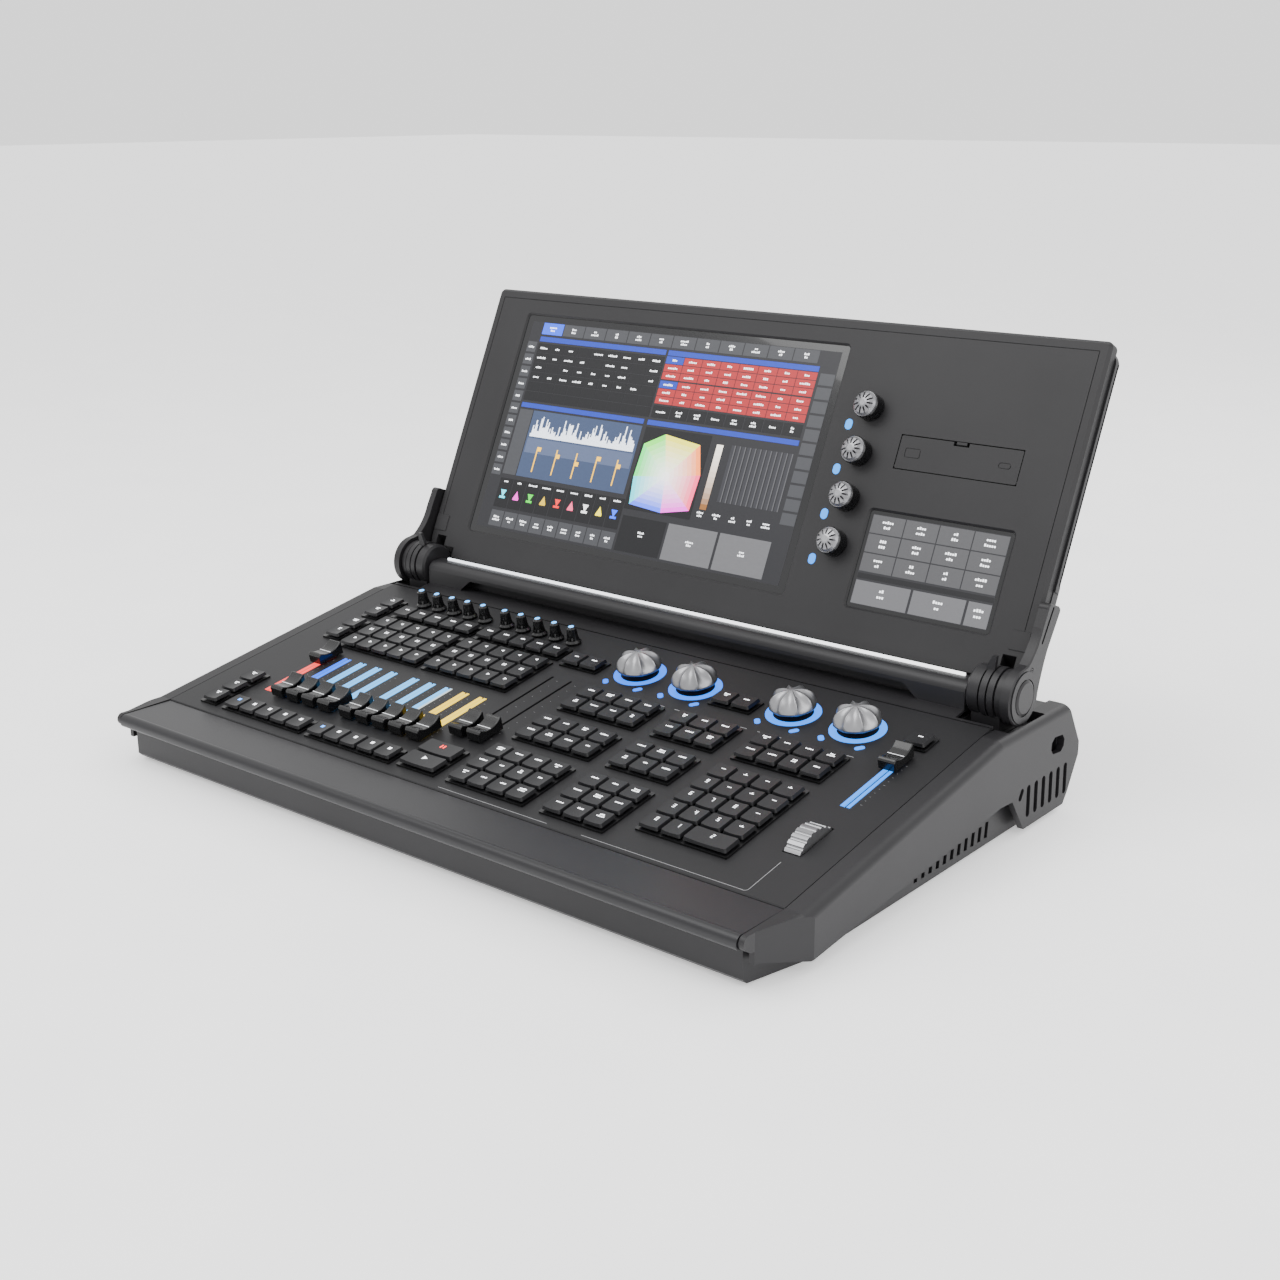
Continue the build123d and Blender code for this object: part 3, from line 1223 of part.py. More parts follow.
with BuildPart() as arm:
    with BuildSketch(SECTION.offset(ARM_INNER_X)):
        with Locations((HINGE_Y, HINGE_Z)):
            Circle(DISC_RADIUS)
        with BuildLine():
            Line((290, HINGE_Z + DISC_RADIUS - 0.4), (297.5, 123.0))
            ThreePointArc((297.5, 123.0), (308.5, 133.5), (316.5, 147.5))
            Line((316.5, 147.5), (323.5, 160.5))
            ThreePointArc((323.5, 160.5), (325.6, 163.6), (330.0, 163.4))
            Line((330.0, 163.4), (341.0, 159.2))
            ThreePointArc((341.0, 159.2), (344.0, 157.0), (343.2, 152.8))
            Line((343.2, 152.8), (327.0, 128.0))
            ThreePointArc((327.0, 128.0), (320.0, 112.0), (314.4, 94.4))
            Polyline((314.4, 94.4), (300, 88), (290, HINGE_Z + DISC_RADIUS - 0.4))
        make_face()
    extrude(amount=ARM_OUTER_X - ARM_INNER_X)
    chamfer(arm.faces().sort_by(Axis.X)[-1].edges(), 1.0)
    # Channel down the outside of the arm.
    with BuildSketch(SECTION.offset(ARM_OUTER_X)):
        with Locations((324.5, 148.0)):
            SlotOverall(30, 2.4, rotation=58)
    extrude(amount=-0.9, mode=Mode.SUBTRACT)
    with BuildSketch(HINGE.offset(ARM_OUTER_X)):
        Circle(DISC_RADIUS - 2.4)
        Circle(14.6, mode=Mode.SUBTRACT)
        Circle(CAP_RADIUS)
    extrude(amount=0.9)
    with BuildSketch(HINGE.offset(ARM_OUTER_X + 0.9)):
        Circle(CAP_RADIUS)
    extrude(amount=DISC_OUTER_X - ARM_OUTER_X - 0.9, taper=60)
    with BuildSketch(SECTION.offset(ARM_OUTER_X)):
        with Locations(ARM_SCREW):
            Circle(2.2)
            Circle(1.7, mode=Mode.SUBTRACT)
            Rectangle(2.2, 0.6)
    extrude(amount=-1, mode=Mode.SUBTRACT)
    with BuildSketch(HINGE.offset(ARM_INNER_X)):
        Circle(PIN_RADIUS + PIN_CLEARANCE)
    extrude(amount=DISC_OUTER_X - 1.4 - ARM_INNER_X, mode=Mode.SUBTRACT)

with BuildPart() as hinge_arms:
    add(arm.part)
    mirror(about=Plane.YZ)
save("hinge_arms", hinge_arms.part)
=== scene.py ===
import json
import math
import random

import bpy
import numpy as np
from mathutils import Matrix, Vector


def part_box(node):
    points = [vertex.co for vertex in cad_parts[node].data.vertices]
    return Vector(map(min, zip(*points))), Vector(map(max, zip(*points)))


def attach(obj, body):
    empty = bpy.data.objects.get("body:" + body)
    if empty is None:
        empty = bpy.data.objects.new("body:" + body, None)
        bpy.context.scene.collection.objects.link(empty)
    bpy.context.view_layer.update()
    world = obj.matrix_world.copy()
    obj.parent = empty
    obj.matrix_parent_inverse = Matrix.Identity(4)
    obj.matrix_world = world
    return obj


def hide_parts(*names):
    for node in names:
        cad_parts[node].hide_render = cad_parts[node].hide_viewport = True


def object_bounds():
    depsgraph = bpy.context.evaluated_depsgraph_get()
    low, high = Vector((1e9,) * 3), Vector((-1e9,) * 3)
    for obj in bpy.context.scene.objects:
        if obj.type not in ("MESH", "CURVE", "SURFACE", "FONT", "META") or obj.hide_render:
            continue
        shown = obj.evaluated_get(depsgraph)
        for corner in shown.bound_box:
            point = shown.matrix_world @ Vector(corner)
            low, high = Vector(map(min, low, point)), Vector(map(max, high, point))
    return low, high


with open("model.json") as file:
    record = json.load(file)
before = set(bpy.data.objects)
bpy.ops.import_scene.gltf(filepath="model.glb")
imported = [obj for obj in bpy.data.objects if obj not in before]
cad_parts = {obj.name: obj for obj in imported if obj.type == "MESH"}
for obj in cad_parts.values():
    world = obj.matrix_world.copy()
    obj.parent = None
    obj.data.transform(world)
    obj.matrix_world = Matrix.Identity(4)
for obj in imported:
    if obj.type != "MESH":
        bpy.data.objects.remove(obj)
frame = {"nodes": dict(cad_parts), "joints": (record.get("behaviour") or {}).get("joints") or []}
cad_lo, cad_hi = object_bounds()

MM = 0.001
NODES = frame["nodes"]
JOINTS = {joint["name"]: joint for joint in frame["joints"]}


# ---------------------------------------------------------------- measuring the frame
def points(node):
    """A CAD node's vertices as an array, in metres."""
    return np.array([v.co for v in NODES[node].data.vertices], float)


def plane_of(normal, up, face_points, low_points):
    """A matrix for a working plane: x across, y up the slope, z out of the face."""
    n, u = Vector(normal).normalized(), Vector(up).normalized()
    height = float((face_points @ np.array(n)).max())
    low = float((low_points @ np.array(u)).min())
    origin = n * height + u * low
    return Matrix.Translation(origin) @ Matrix((Vector((1, 0, 0)), u, n)).transposed().to_4x4()


panel_up = Vector(JOINTS["playback_fader_2_slide"]["axis"])
panel_out = -Vector(JOINTS["flash_keys_slide"]["axis"])
PANEL = plane_of(panel_out, panel_up, points("control_panel"), points("control_panel"))
lid_out = Vector(JOINTS["lid_encoder_1_turn"]["axis"])
lid_up = lid_out.cross(Vector((1, 0, 0)))
LID = plane_of(lid_out, lid_up, points("main_display"), points("lid_bezel"))
LID = LID @ Matrix.Translation((0, 0, 2 * MM))


def local(node, plane):
    """Lowest and highest corner of a CAD node in a working plane, in mm."""
    p = points(node)
    m = np.array(plane.inverted())
    q = (p @ m[:3, :3].T + m[:3, 3]) / MM
    return q.min(0), q.max(0)


def islands(node, plane):
    """Separate solids of a CAD node as (low, high) corners in a working plane, in mm."""
    mesh = NODES[node].data
    key, ids = {}, []
    for v in mesh.vertices:
        ids.append(key.setdefault(tuple(round(c, 6) for c in v.co), len(key)))
    parent = list(range(len(key)))

    def find(i):
        while parent[i] != i:
            parent[i] = parent[parent[i]]
            i = parent[i]
        return i

    for e in mesh.edges:
        a, b = find(ids[e.vertices[0]]), find(ids[e.vertices[1]])
        parent[a] = b
    groups = {}
    for position, i in key.items():
        groups.setdefault(find(i), []).append(position)
    m = np.array(plane.inverted())
    found = []
    for group in groups.values():
        q = (np.array(group) @ m[:3, :3].T + m[:3, 3]) / MM
        found.append((q.min(0), q.max(0)))
    return sorted(found, key=lambda f: (round(f[0][1]), round(f[0][0])))


# ---------------------------------------------------------------- materials
def link(tree, a, b):
    tree.links.new(a, b)


def surface(name, dark, light, rough, metal=0.0, grain=900.0, bump=0.06, coat=0.0):
    """A procedural finish: fine grain in colour, roughness and relief."""
    mat = bpy.data.materials.new(name)
    mat.use_nodes = True
    t = mat.node_tree
    shader = t.nodes["Principled BSDF"]
    where = t.nodes.new("ShaderNodeTexCoord")
    fine = t.nodes.new("ShaderNodeTexNoise")
    fine.inputs["Scale"].default_value = grain
    fine.inputs["Detail"].default_value = 3
    broad = t.nodes.new("ShaderNodeTexNoise")
    broad.inputs["Scale"].default_value = 9
    broad.inputs["Detail"].default_value = 4
    ramp = t.nodes.new("ShaderNodeValToRGB")
    ramp.color_ramp.elements[0].position = 0.3
    ramp.color_ramp.elements[1].position = 0.7
    ramp.color_ramp.elements[0].color = (*dark, 1)
    ramp.color_ramp.elements[1].color = (*light, 1)
    spread = t.nodes.new("ShaderNodeMapRange")
    spread.inputs["To Min"].default_value = max(0.03, rough - 0.06)
    spread.inputs["To Max"].default_value = rough + 0.06
    relief = t.nodes.new("ShaderNodeBump")
    relief.inputs["Strength"].default_value = bump
    relief.inputs["Distance"].default_value = 0.0004
    link(t, where.outputs["Object"], fine.inputs["Vector"])
    link(t, where.outputs["Object"], broad.inputs["Vector"])
    link(t, broad.outputs["Fac"], ramp.inputs["Fac"])
    link(t, ramp.outputs["Color"], shader.inputs["Base Color"])
    link(t, fine.outputs["Fac"], spread.inputs["Value"])
    link(t, spread.outputs["Result"], shader.inputs["Roughness"])
    link(t, fine.outputs["Fac"], relief.inputs["Height"])
    link(t, relief.outputs["Normal"], shader.inputs["Normal"])
    shader.inputs["Metallic"].default_value = metal
    shader.inputs["Specular IOR Level"].default_value = 0.3
    shader.inputs["Coat Weight"].default_value = coat
    return mat


def glow(name, stops, low, high, axis, strength):
    """A lit diffuser whose colour runs through stops between two places along an axis."""
    mat = surface(name, (0.01, 0.01, 0.012), (0.02, 0.02, 0.022), 0.4)
    t = mat.node_tree
    shader = t.nodes["Principled BSDF"]
    where = t.nodes.new("ShaderNodeTexCoord")
    split = t.nodes.new("ShaderNodeSeparateXYZ")
    run = t.nodes.new("ShaderNodeMapRange")
    run.inputs["From Min"].default_value = low
    run.inputs["From Max"].default_value = high
    ramp = t.nodes.new("ShaderNodeValToRGB")
    ramp.color_ramp.elements[0].position = stops[0][0]
    ramp.color_ramp.elements[0].color = (*stops[0][1], 1)
    ramp.color_ramp.elements[1].position = stops[-1][0]
    ramp.color_ramp.elements[1].color = (*stops[-1][1], 1)
    for position, colour in stops[1:-1]:
        ramp.color_ramp.elements.new(position).color = (*colour, 1)
    link(t, where.outputs["Object"], split.inputs["Vector"])
    link(t, split.outputs[axis], run.inputs["Value"])
    link(t, run.outputs["Result"], ramp.inputs["Fac"])
    link(t, ramp.outputs["Color"], shader.inputs["Emission Color"])
    shader.inputs["Emission Strength"].default_value = strength
    return mat


def painted(name, strength, rough=0.35):
    """For flat marks that carry their own colour in the mesh; strength lights them."""
    mat = surface(name, (0.02, 0.02, 0.02), (0.04, 0.04, 0.04), rough)
    t = mat.node_tree
    shader = t.nodes["Principled BSDF"]
    colour = t.nodes.new("ShaderNodeAttribute")
    colour.attribute_name = "Col"
    noise = t.nodes.new("ShaderNodeTexNoise")
    noise.inputs["Scale"].default_value = 60
    tone = t.nodes.new("ShaderNodeMapRange")
    tone.inputs["To Min"].default_value = 0.92
    tone.inputs["To Max"].default_value = 1.05
    mix = t.nodes.new("ShaderNodeVectorMath")
    mix.operation = "SCALE"
    link(t, noise.outputs["Fac"], tone.inputs["Value"])
    link(t, colour.outputs["Color"], mix.inputs[0])
    link(t, tone.outputs["Result"], mix.inputs["Scale"])
    link(t, mix.outputs["Vector"], shader.inputs["Base Color"])
    if strength:
        link(t, mix.outputs["Vector"], shader.inputs["Emission Color"])
        shader.inputs["Emission Strength"].default_value = strength
    return mat


charcoal = surface("charcoal", (0.011, 0.0105, 0.0115), (0.015, 0.0145, 0.016), 0.42)
moulding = surface(
    "moulding", (0.0105, 0.01, 0.0112), (0.0145, 0.014, 0.0155), 0.46, grain=1400, bump=0.1)
palm = surface("palm_rest", (0.011, 0.0108, 0.0122), (0.015, 0.0147, 0.0165), 0.36, grain=1500)
panel_paint = surface(
    "panel_paint", (0.0075, 0.0074, 0.0082), (0.0105, 0.0102, 0.0115), 0.48, grain=1600)
bezel_skin = surface(
    "bezel_skin", (0.012, 0.0115, 0.0125), (0.0165, 0.016, 0.0172), 0.5, grain=1600, bump=0.09)
plinth_black = surface("plinth_black", (0.002, 0.002, 0.0022), (0.004, 0.004, 0.0045), 0.3, coat=0.2)
cap_black = surface("cap_black", (0.0025, 0.0025, 0.003), (0.005, 0.005, 0.0055), 0.28, coat=0.3)
key_grey = surface("key_grey", (0.0065, 0.0065, 0.0075), (0.011, 0.011, 0.0125), 0.34, grain=700)
rubber = surface("rubber", (0.006, 0.006, 0.006), (0.012, 0.012, 0.012), 0.8, bump=0.3)
silver = surface("silver", (0.2, 0.2, 0.21), (0.34, 0.34, 0.35), 0.34, metal=0.9, grain=500, bump=0.03)
steel = surface("steel", (0.1, 0.1, 0.1), (0.2, 0.2, 0.2), 0.35, metal=0.9, grain=500)
sheet_metal = surface("sheet_metal", (0.4, 0.4, 0.42), (0.55, 0.56, 0.58), 0.4, metal=0.9)
laminate = surface("laminate", (0.01, 0.08, 0.03), (0.02, 0.13, 0.05), 0.4)
glass_black = surface("glass_black", (0.002, 0.002, 0.003), (0.005, 0.005, 0.006), 0.12, bump=0.0, coat=0.5)

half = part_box("control_panel")[1].x
# Fader light colours from the desk's left edge (0) to its right edge (1).
strip_stops = [
    (0.0, (1.0, 0.05, 0.04)), (0.118, (1.0, 0.06, 0.05)), (0.124, (0.0, 0.1, 1.0)),
    (0.15, (0.01, 0.2, 1.0)), (0.155, (0.08, 0.45, 1.0)), (0.335, (0.12, 0.5, 1.0)),
    (0.342, (0.95, 0.62, 0.02)), (0.45, (0.95, 0.7, 0.05)), (0.47, (0.0, 0.16, 1.0)),
    (1.0, (0.02, 0.28, 1.0)),
]
lamp_stops = [(0.0, (0.8, 0.84, 0.9)), (1.0, (1, 1, 1))]
pill_stops = [(0.0, (0.0, 0.2, 1.0)), (1.0, (0.02, 0.35, 1.0))]
PILL_TOP = 0.3  # metres up; the pill colours run from the floor to here
guide_light = glow("guide_light", strip_stops, -half, half, "X", 2.4)
lamp_light = glow("lamp_light", lamp_stops, -half, half, "X", 3.2)
pill_light = glow("pill_light", pill_stops, 0, PILL_TOP, "Z", 2.4)
lit_marks = painted("lit_marks", 2.2)
screen_marks = painted("screen_marks", 1.25)
print_marks = painted("print_marks", 0.0, 0.5)


def finish_node(node, mat):
    """Gives a CAD node its material."""
    NODES[node].data.materials.clear()
    NODES[node].data.materials.append(mat)


finishes = {
    "base_tray": charcoal, "rear_cover": charcoal, "left_cheek": moulding, "right_cheek": moulding,
    "wrist_rest": palm, "rubber_feet": rubber, "control_panel": panel_paint, "hinge_bridge": charcoal,
    "bridge_lamp": lamp_light, "hinge_barrels": charcoal, "hinge_arms": charcoal, "casing_screws": steel,
    "main_board": laminate, "power_supply": sheet_metal, "key_plinths": plinth_black,
    "light_guides": guide_light, "control_units": cap_black, "rear_connectors": cap_black,
    "lid_bezel": bezel_skin, "lid_back_shell": moulding, "main_display": glass_black,
    "side_display": glass_black, "lid_light_pills": pill_light, "drive_door": bezel_skin,
    "scroll_wheel": silver,
}
for node in NODES:
    if node.endswith("_keys"):
        finish_node(node, key_grey)
    elif "fader" in node or "knob" in node or node.startswith("lid_encoder"):
        finish_node(node, cap_black)
    elif node.startswith("main_encoder"):
        finish_node(node, silver)
    else:
        finish_node(node, finishes[node])


# ---------------------------------------------------------------- flat marks
def marks(name, plane, body, mat, quads, thick=0.12):
    """Thin raised marks on a plane, each (corner points in mm, height in mm, colour)."""
    verts, faces, colours = [], [], []
    for corners, n, colour in quads:
        start, count = len(verts), len(corners)
        for level in (n, n + thick):
            verts += [plane @ Vector((x * MM, y * MM, level * MM)) for x, y in corners]
        faces.append([start + count + i for i in range(count)])
        for i in range(count):
            j = (i + 1) % count
            faces.append([start + i, start + j, start + count + j, start + count + i])
        colours += [colour] * (count + 1)
    mesh = bpy.data.meshes.new(name)
    mesh.from_pydata(verts, [], faces)
    attribute = mesh.color_attributes.new("Col", "FLOAT_COLOR", "CORNER")
    k = 0
    for polygon, colour in zip(mesh.polygons, colours):
        for _ in polygon.loop_indices:
            attribute.data[k].color = (*colour, 1)
            k += 1
    mesh.materials.append(mat)
    obj = bpy.data.objects.new(name, mesh)
    bpy.context.scene.collection.objects.link(obj)
    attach(obj, body)
    return obj


def middle(low, high):
    return (low[0] + high[0]) / 2, (low[1] + high[1]) / 2


def rect(x0, x1, y0, y1):
    return [(x0, y0), (x1, y0), (x1, y1), (x0, y1)]


def bar(cx, cy, half_wide, half_tall):
    return rect(cx - half_wide, cx + half_wide, cy - half_tall, cy + half_tall)


def turned(corners, cx, cy, degrees=0.0, scale=1.0):
    a = math.radians(degrees)
    c, s = math.cos(a) * scale, math.sin(a) * scale
    return [(cx + x * c - y * s, cy + x * s + y * c) for x, y in corners]


SQUARE = rect(-1, 1, -1, 1)
TRIANGLE = [(-1, -1.1), (1.2, 0), (-1, 1.1)]
DISC = [(math.cos(i * math.pi / 8), math.sin(i * math.pi / 8)) for i in range(16)]
WHITE = (0.95, 0.97, 1.0)
RED = (1.0, 0.06, 0.05)
BLUE = (0.08, 0.35, 1.0)
# Strokes of the seven-segment digits 0 to 9, and each stroke's box in mm.
SEGMENTS = ["abcdef", "bc", "abged", "abgcd", "fgbc", "afgcd", "afgedc", "abc", "abcdefg", "abcdfg"]
SEGMENT_BOX = {
    "a": (-1, 1, 1.7, 2.1), "d": (-1, 1, -2.1, -1.7), "g": (-1, 1, -0.2, 0.2),
    "f": (-1, -0.6, 0, 2.1), "b": (0.6, 1, 0, 2.1), "e": (-1, -0.6, -2.1, 0), "c": (0.6, 1, -2.1, 0),
}


def dashes(rng, cx, cy, wide, n, colour, rows=1, height=1.5, pitch=2.3):
    """Rows of small blocks, centred, standing for a legend."""
    out = []
    for row in range(rows):
        count = rng.randint(3, 6) if rows == 1 else rng.randint(2, 5)
        step = min(wide / max(count, 1), height * 0.95)
        y = cy + (rows - 1) * pitch / 2 - row * pitch
        for i in range(count):
            x = cx + (i - (count - 1) / 2) * step
            tall = height * rng.choice((1.0, 0.72, 0.72))
            low = y - height / 2
            out.append((rect(x - step * 0.36, x + step * 0.36, low, low + tall), n, colour))
    return out


# All in mm on the panel.
LEGEND_SINK = 0.55  # a legend's depth below the cap's highest point
LEGEND_BACK = 2.3  # how far it sits behind the cap's middle
SIDE_COLUMN_X = -270  # playback keys left of this carry two-line legends
UPPER_KEYS_Y = 205  # playback keys behind this carry one-line legends
GO_ROW_Y = 152.5  # the front row beside the faders, then pause and back keys
KEY_PITCH = 19.5
PAD_LEFT, PAD_BACK = 174, 128  # corner of the number pad
PAD_DIGITS_RIGHT = 235  # its columns left of this carry digits


def key_marks(node, rng):
    """Legends for one group of keys, each a little behind the middle of its cap."""
    out = []
    for i, (low, high) in enumerate(islands(node, PANEL)):
        cx, cy = middle(low, high)
        n = high[2] - LEGEND_SINK
        y = cy + LEGEND_BACK
        row = round((cy - GO_ROW_Y) / KEY_PITCH)
        if node == "flash_keys":
            out.append((turned(SQUARE, cx, y, 0, 1.5), n, WHITE if i not in (0, 5) else BLUE))
        elif node == "transport_keys":
            if i == 1:
                out.append((rect(cx - 2.2, cx - 0.8, y - 2, y + 2), n, RED))
                out.append((rect(cx + 0.8, cx + 2.2, y - 2, y + 2), n, RED))
            else:
                out.append((turned(TRIANGLE, cx, y, 0, 2.0), n, WHITE))
        elif node == "playback_keys":
            if cx < SIDE_COLUMN_X:
                out += dashes(rng, cx, y, 9, n, WHITE, rows=2, height=1.3, pitch=2.0)
            elif cy > UPPER_KEYS_Y:
                out += dashes(rng, cx, y, 7, n, WHITE, height=1.7)
            elif row == 0:
                out.append((turned(TRIANGLE, cx, y, 0, 1.4), n, WHITE))
            elif row == 1:
                out.append((rect(cx - 1.7, cx - 0.6, y - 1.6, y + 1.6), n, WHITE))
                out.append((rect(cx + 0.6, cx + 1.7, y - 1.6, y + 1.6), n, WHITE))
            else:
                out.append((turned(TRIANGLE, cx - 0.5, y, 180, 1.3), n, WHITE))
        else:
            rows = 2 if i % 3 == 0 else 1
            out += dashes(rng, cx, y, 10, n, WHITE, rows=rows, height=1.5)
    return out


rng = random.Random(7)
pad = [f for f in islands("programmer_keys", PANEL) if f[0][0] > PAD_LEFT and f[1][1] < PAD_BACK]
pad_low = np.min([f[0] for f in pad], axis=0)
pad_high = np.max([f[1] for f in pad], axis=0)


def on_pad(quad):
    x = sum(p[0] for p in quad[0]) / len(quad[0])
    y = sum(p[1] for p in quad[0]) / len(quad[0])
    return pad_low[0] < x < pad_high[0] and pad_low[1] < y < pad_high[1]


for node in ("flash_keys", "playback_keys", "transport_keys", "programmer_keys"):
    quads = key_marks(node, rng)
    if node == "programmer_keys":
        quads = [q for q in quads if not on_pad(q)]
        digits = iter(range(10))
        for low, high in pad:
            cx, cy = middle(low, high)
            cy += LEGEND_BACK
            n = high[2] - LEGEND_SINK
            value = next(digits, None) if cx < PAD_DIGITS_RIGHT else None
            if value is None:
                quads.append((bar(cx, cy, 1.8, 0.3), n, WHITE))
                if rng.random() < 0.5:
                    quads.append((rect(cx - 0.3, cx + 0.3, cy + 0.35, cy + 1.8), n, WHITE))
                continue
            for letter in SEGMENTS[value]:
                x0, x1, y0, y1 = SEGMENT_BOX[letter]
                stroke = rect(cx + x0, cx + x1, cy + y0, cy + y1)
                quads.append((stroke, n + 0.001 * ord(letter), WHITE))
    marks(f"{node}_legends", PANEL, node, lit_marks, quads)

# Fader caps: a white line across the waist.
WAIST_HEIGHT = 7.85
for node in NODES:
    if "fader" in node:
        cx, cy = middle(*local(node, PANEL))
        line = [(rect(cx - 6.9, cx + 6.9, cy - 0.55, cy + 0.15), WAIST_HEIGHT, WHITE)]
        marks(f"{node}_line", PANEL, node, print_marks, line)

# Playback knobs: a lit tip.
for node in NODES:
    if node.startswith("playback_knob"):
        low, high = local(node, PANEL)
        tip = turned(DISC, *middle(low, high), 0, 2.4)
        marks(f"{node}_tip", PANEL, node, lit_marks, [(tip, high[2] - 0.15, (0.1, 0.45, 1.0))])

# Large encoders: a crown of ridges and deep hollows in place of the CAD's shallow flutes.
# Each ring is radius and height in mm, then how far its hollows pull in and how far they sink.
CROWN = [
    (15.0, 6.0, 0.0, 0.0), (18.7, 6.0, 0.03, 0.0), (18.7, 7.4, 0.05, 0.0), (18.5, 9.5, 0.11, 0.0),
    (17.9, 12.0, 0.17, 0.5), (16.6, 14.6, 0.19, 1.4), (14.4, 16.8, 0.16, 2.1), (11.4, 18.4, 0.1, 2.0),
    (8.2, 19.3, 0.06, 1.3), (5.0, 19.7, 0.02, 0.5), (2.0, 19.9, 0.0, 0.0), (0.4, 19.95, 0.0, 0.0),
]


def crown(node):
    cx, cy = middle(*local(node, PANEL))
    turns = 128
    verts, faces = [], []
    for radius, n, pinch, sink in CROWN:
        for i in range(turns):
            angle = 2 * math.pi * i / turns
            hollow = abs(math.sin(4 * angle)) ** 0.8
            r = radius * (1 - pinch * hollow)
            z = n - sink * hollow
            x, y = cx + r * math.cos(angle), cy + r * math.sin(angle)
            verts.append(PANEL @ Vector((x * MM, y * MM, z * MM)))
    for ring in range(len(CROWN) - 1):
        for i in range(turns):
            j = (i + 1) % turns
            a, b = ring * turns, (ring + 1) * turns
            faces.append([a + i, a + j, b + j, b + i])
    faces.append([(len(CROWN) - 1) * turns + i for i in range(turns)])
    faces.append([i for i in reversed(range(turns))])
    mesh = bpy.data.meshes.new(node + "_crown")
    mesh.from_pydata(verts, [], faces)
    mesh.materials.append(silver)
    for polygon in mesh.polygons:
        polygon.use_smooth = True
    obj = bpy.data.objects.new(node + "_crown", mesh)
    bpy.context.scene.collection.objects.link(obj)
    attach(obj, node)
    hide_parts(node)


for node in list(NODES):
    if node.startswith("main_encoder"):
        crown(node)

# Lid encoders: a silver cap on the dark body.
SILVER_CAP = 4.6
for node in NODES:
    if node.startswith("lid_encoder"):
        NODES[node].data.materials.append(silver)
        m = LID.inverted()
        top = local(node, LID)[1][2] - SILVER_CAP
        for polygon in NODES[node].data.polygons:
            if (m @ polygon.center).z / MM > top:
                polygon.material_index = 1

# ---------------------------------------------------------------- displays
GREY = (0.035, 0.036, 0.04)
DARK = (0.004, 0.004, 0.005)
DEEP = -1.95  # picture height in mm, just above the display glass
TITLE = (0.01, 0.03, 0.3)
AMBER = (0.9, 0.5, 0.02)


def screen_area(node):
    low, high = local(node, LID)
    return low[0] + 4, high[0] - 4, low[1] + 4, high[1] - 4


def cell(out, x0, x1, s0, s1, colour, level, edge=0.5):
    out.append((rect(x0 + edge, x1 - edge, s0 + edge, s1 - edge), DEEP + level, colour))


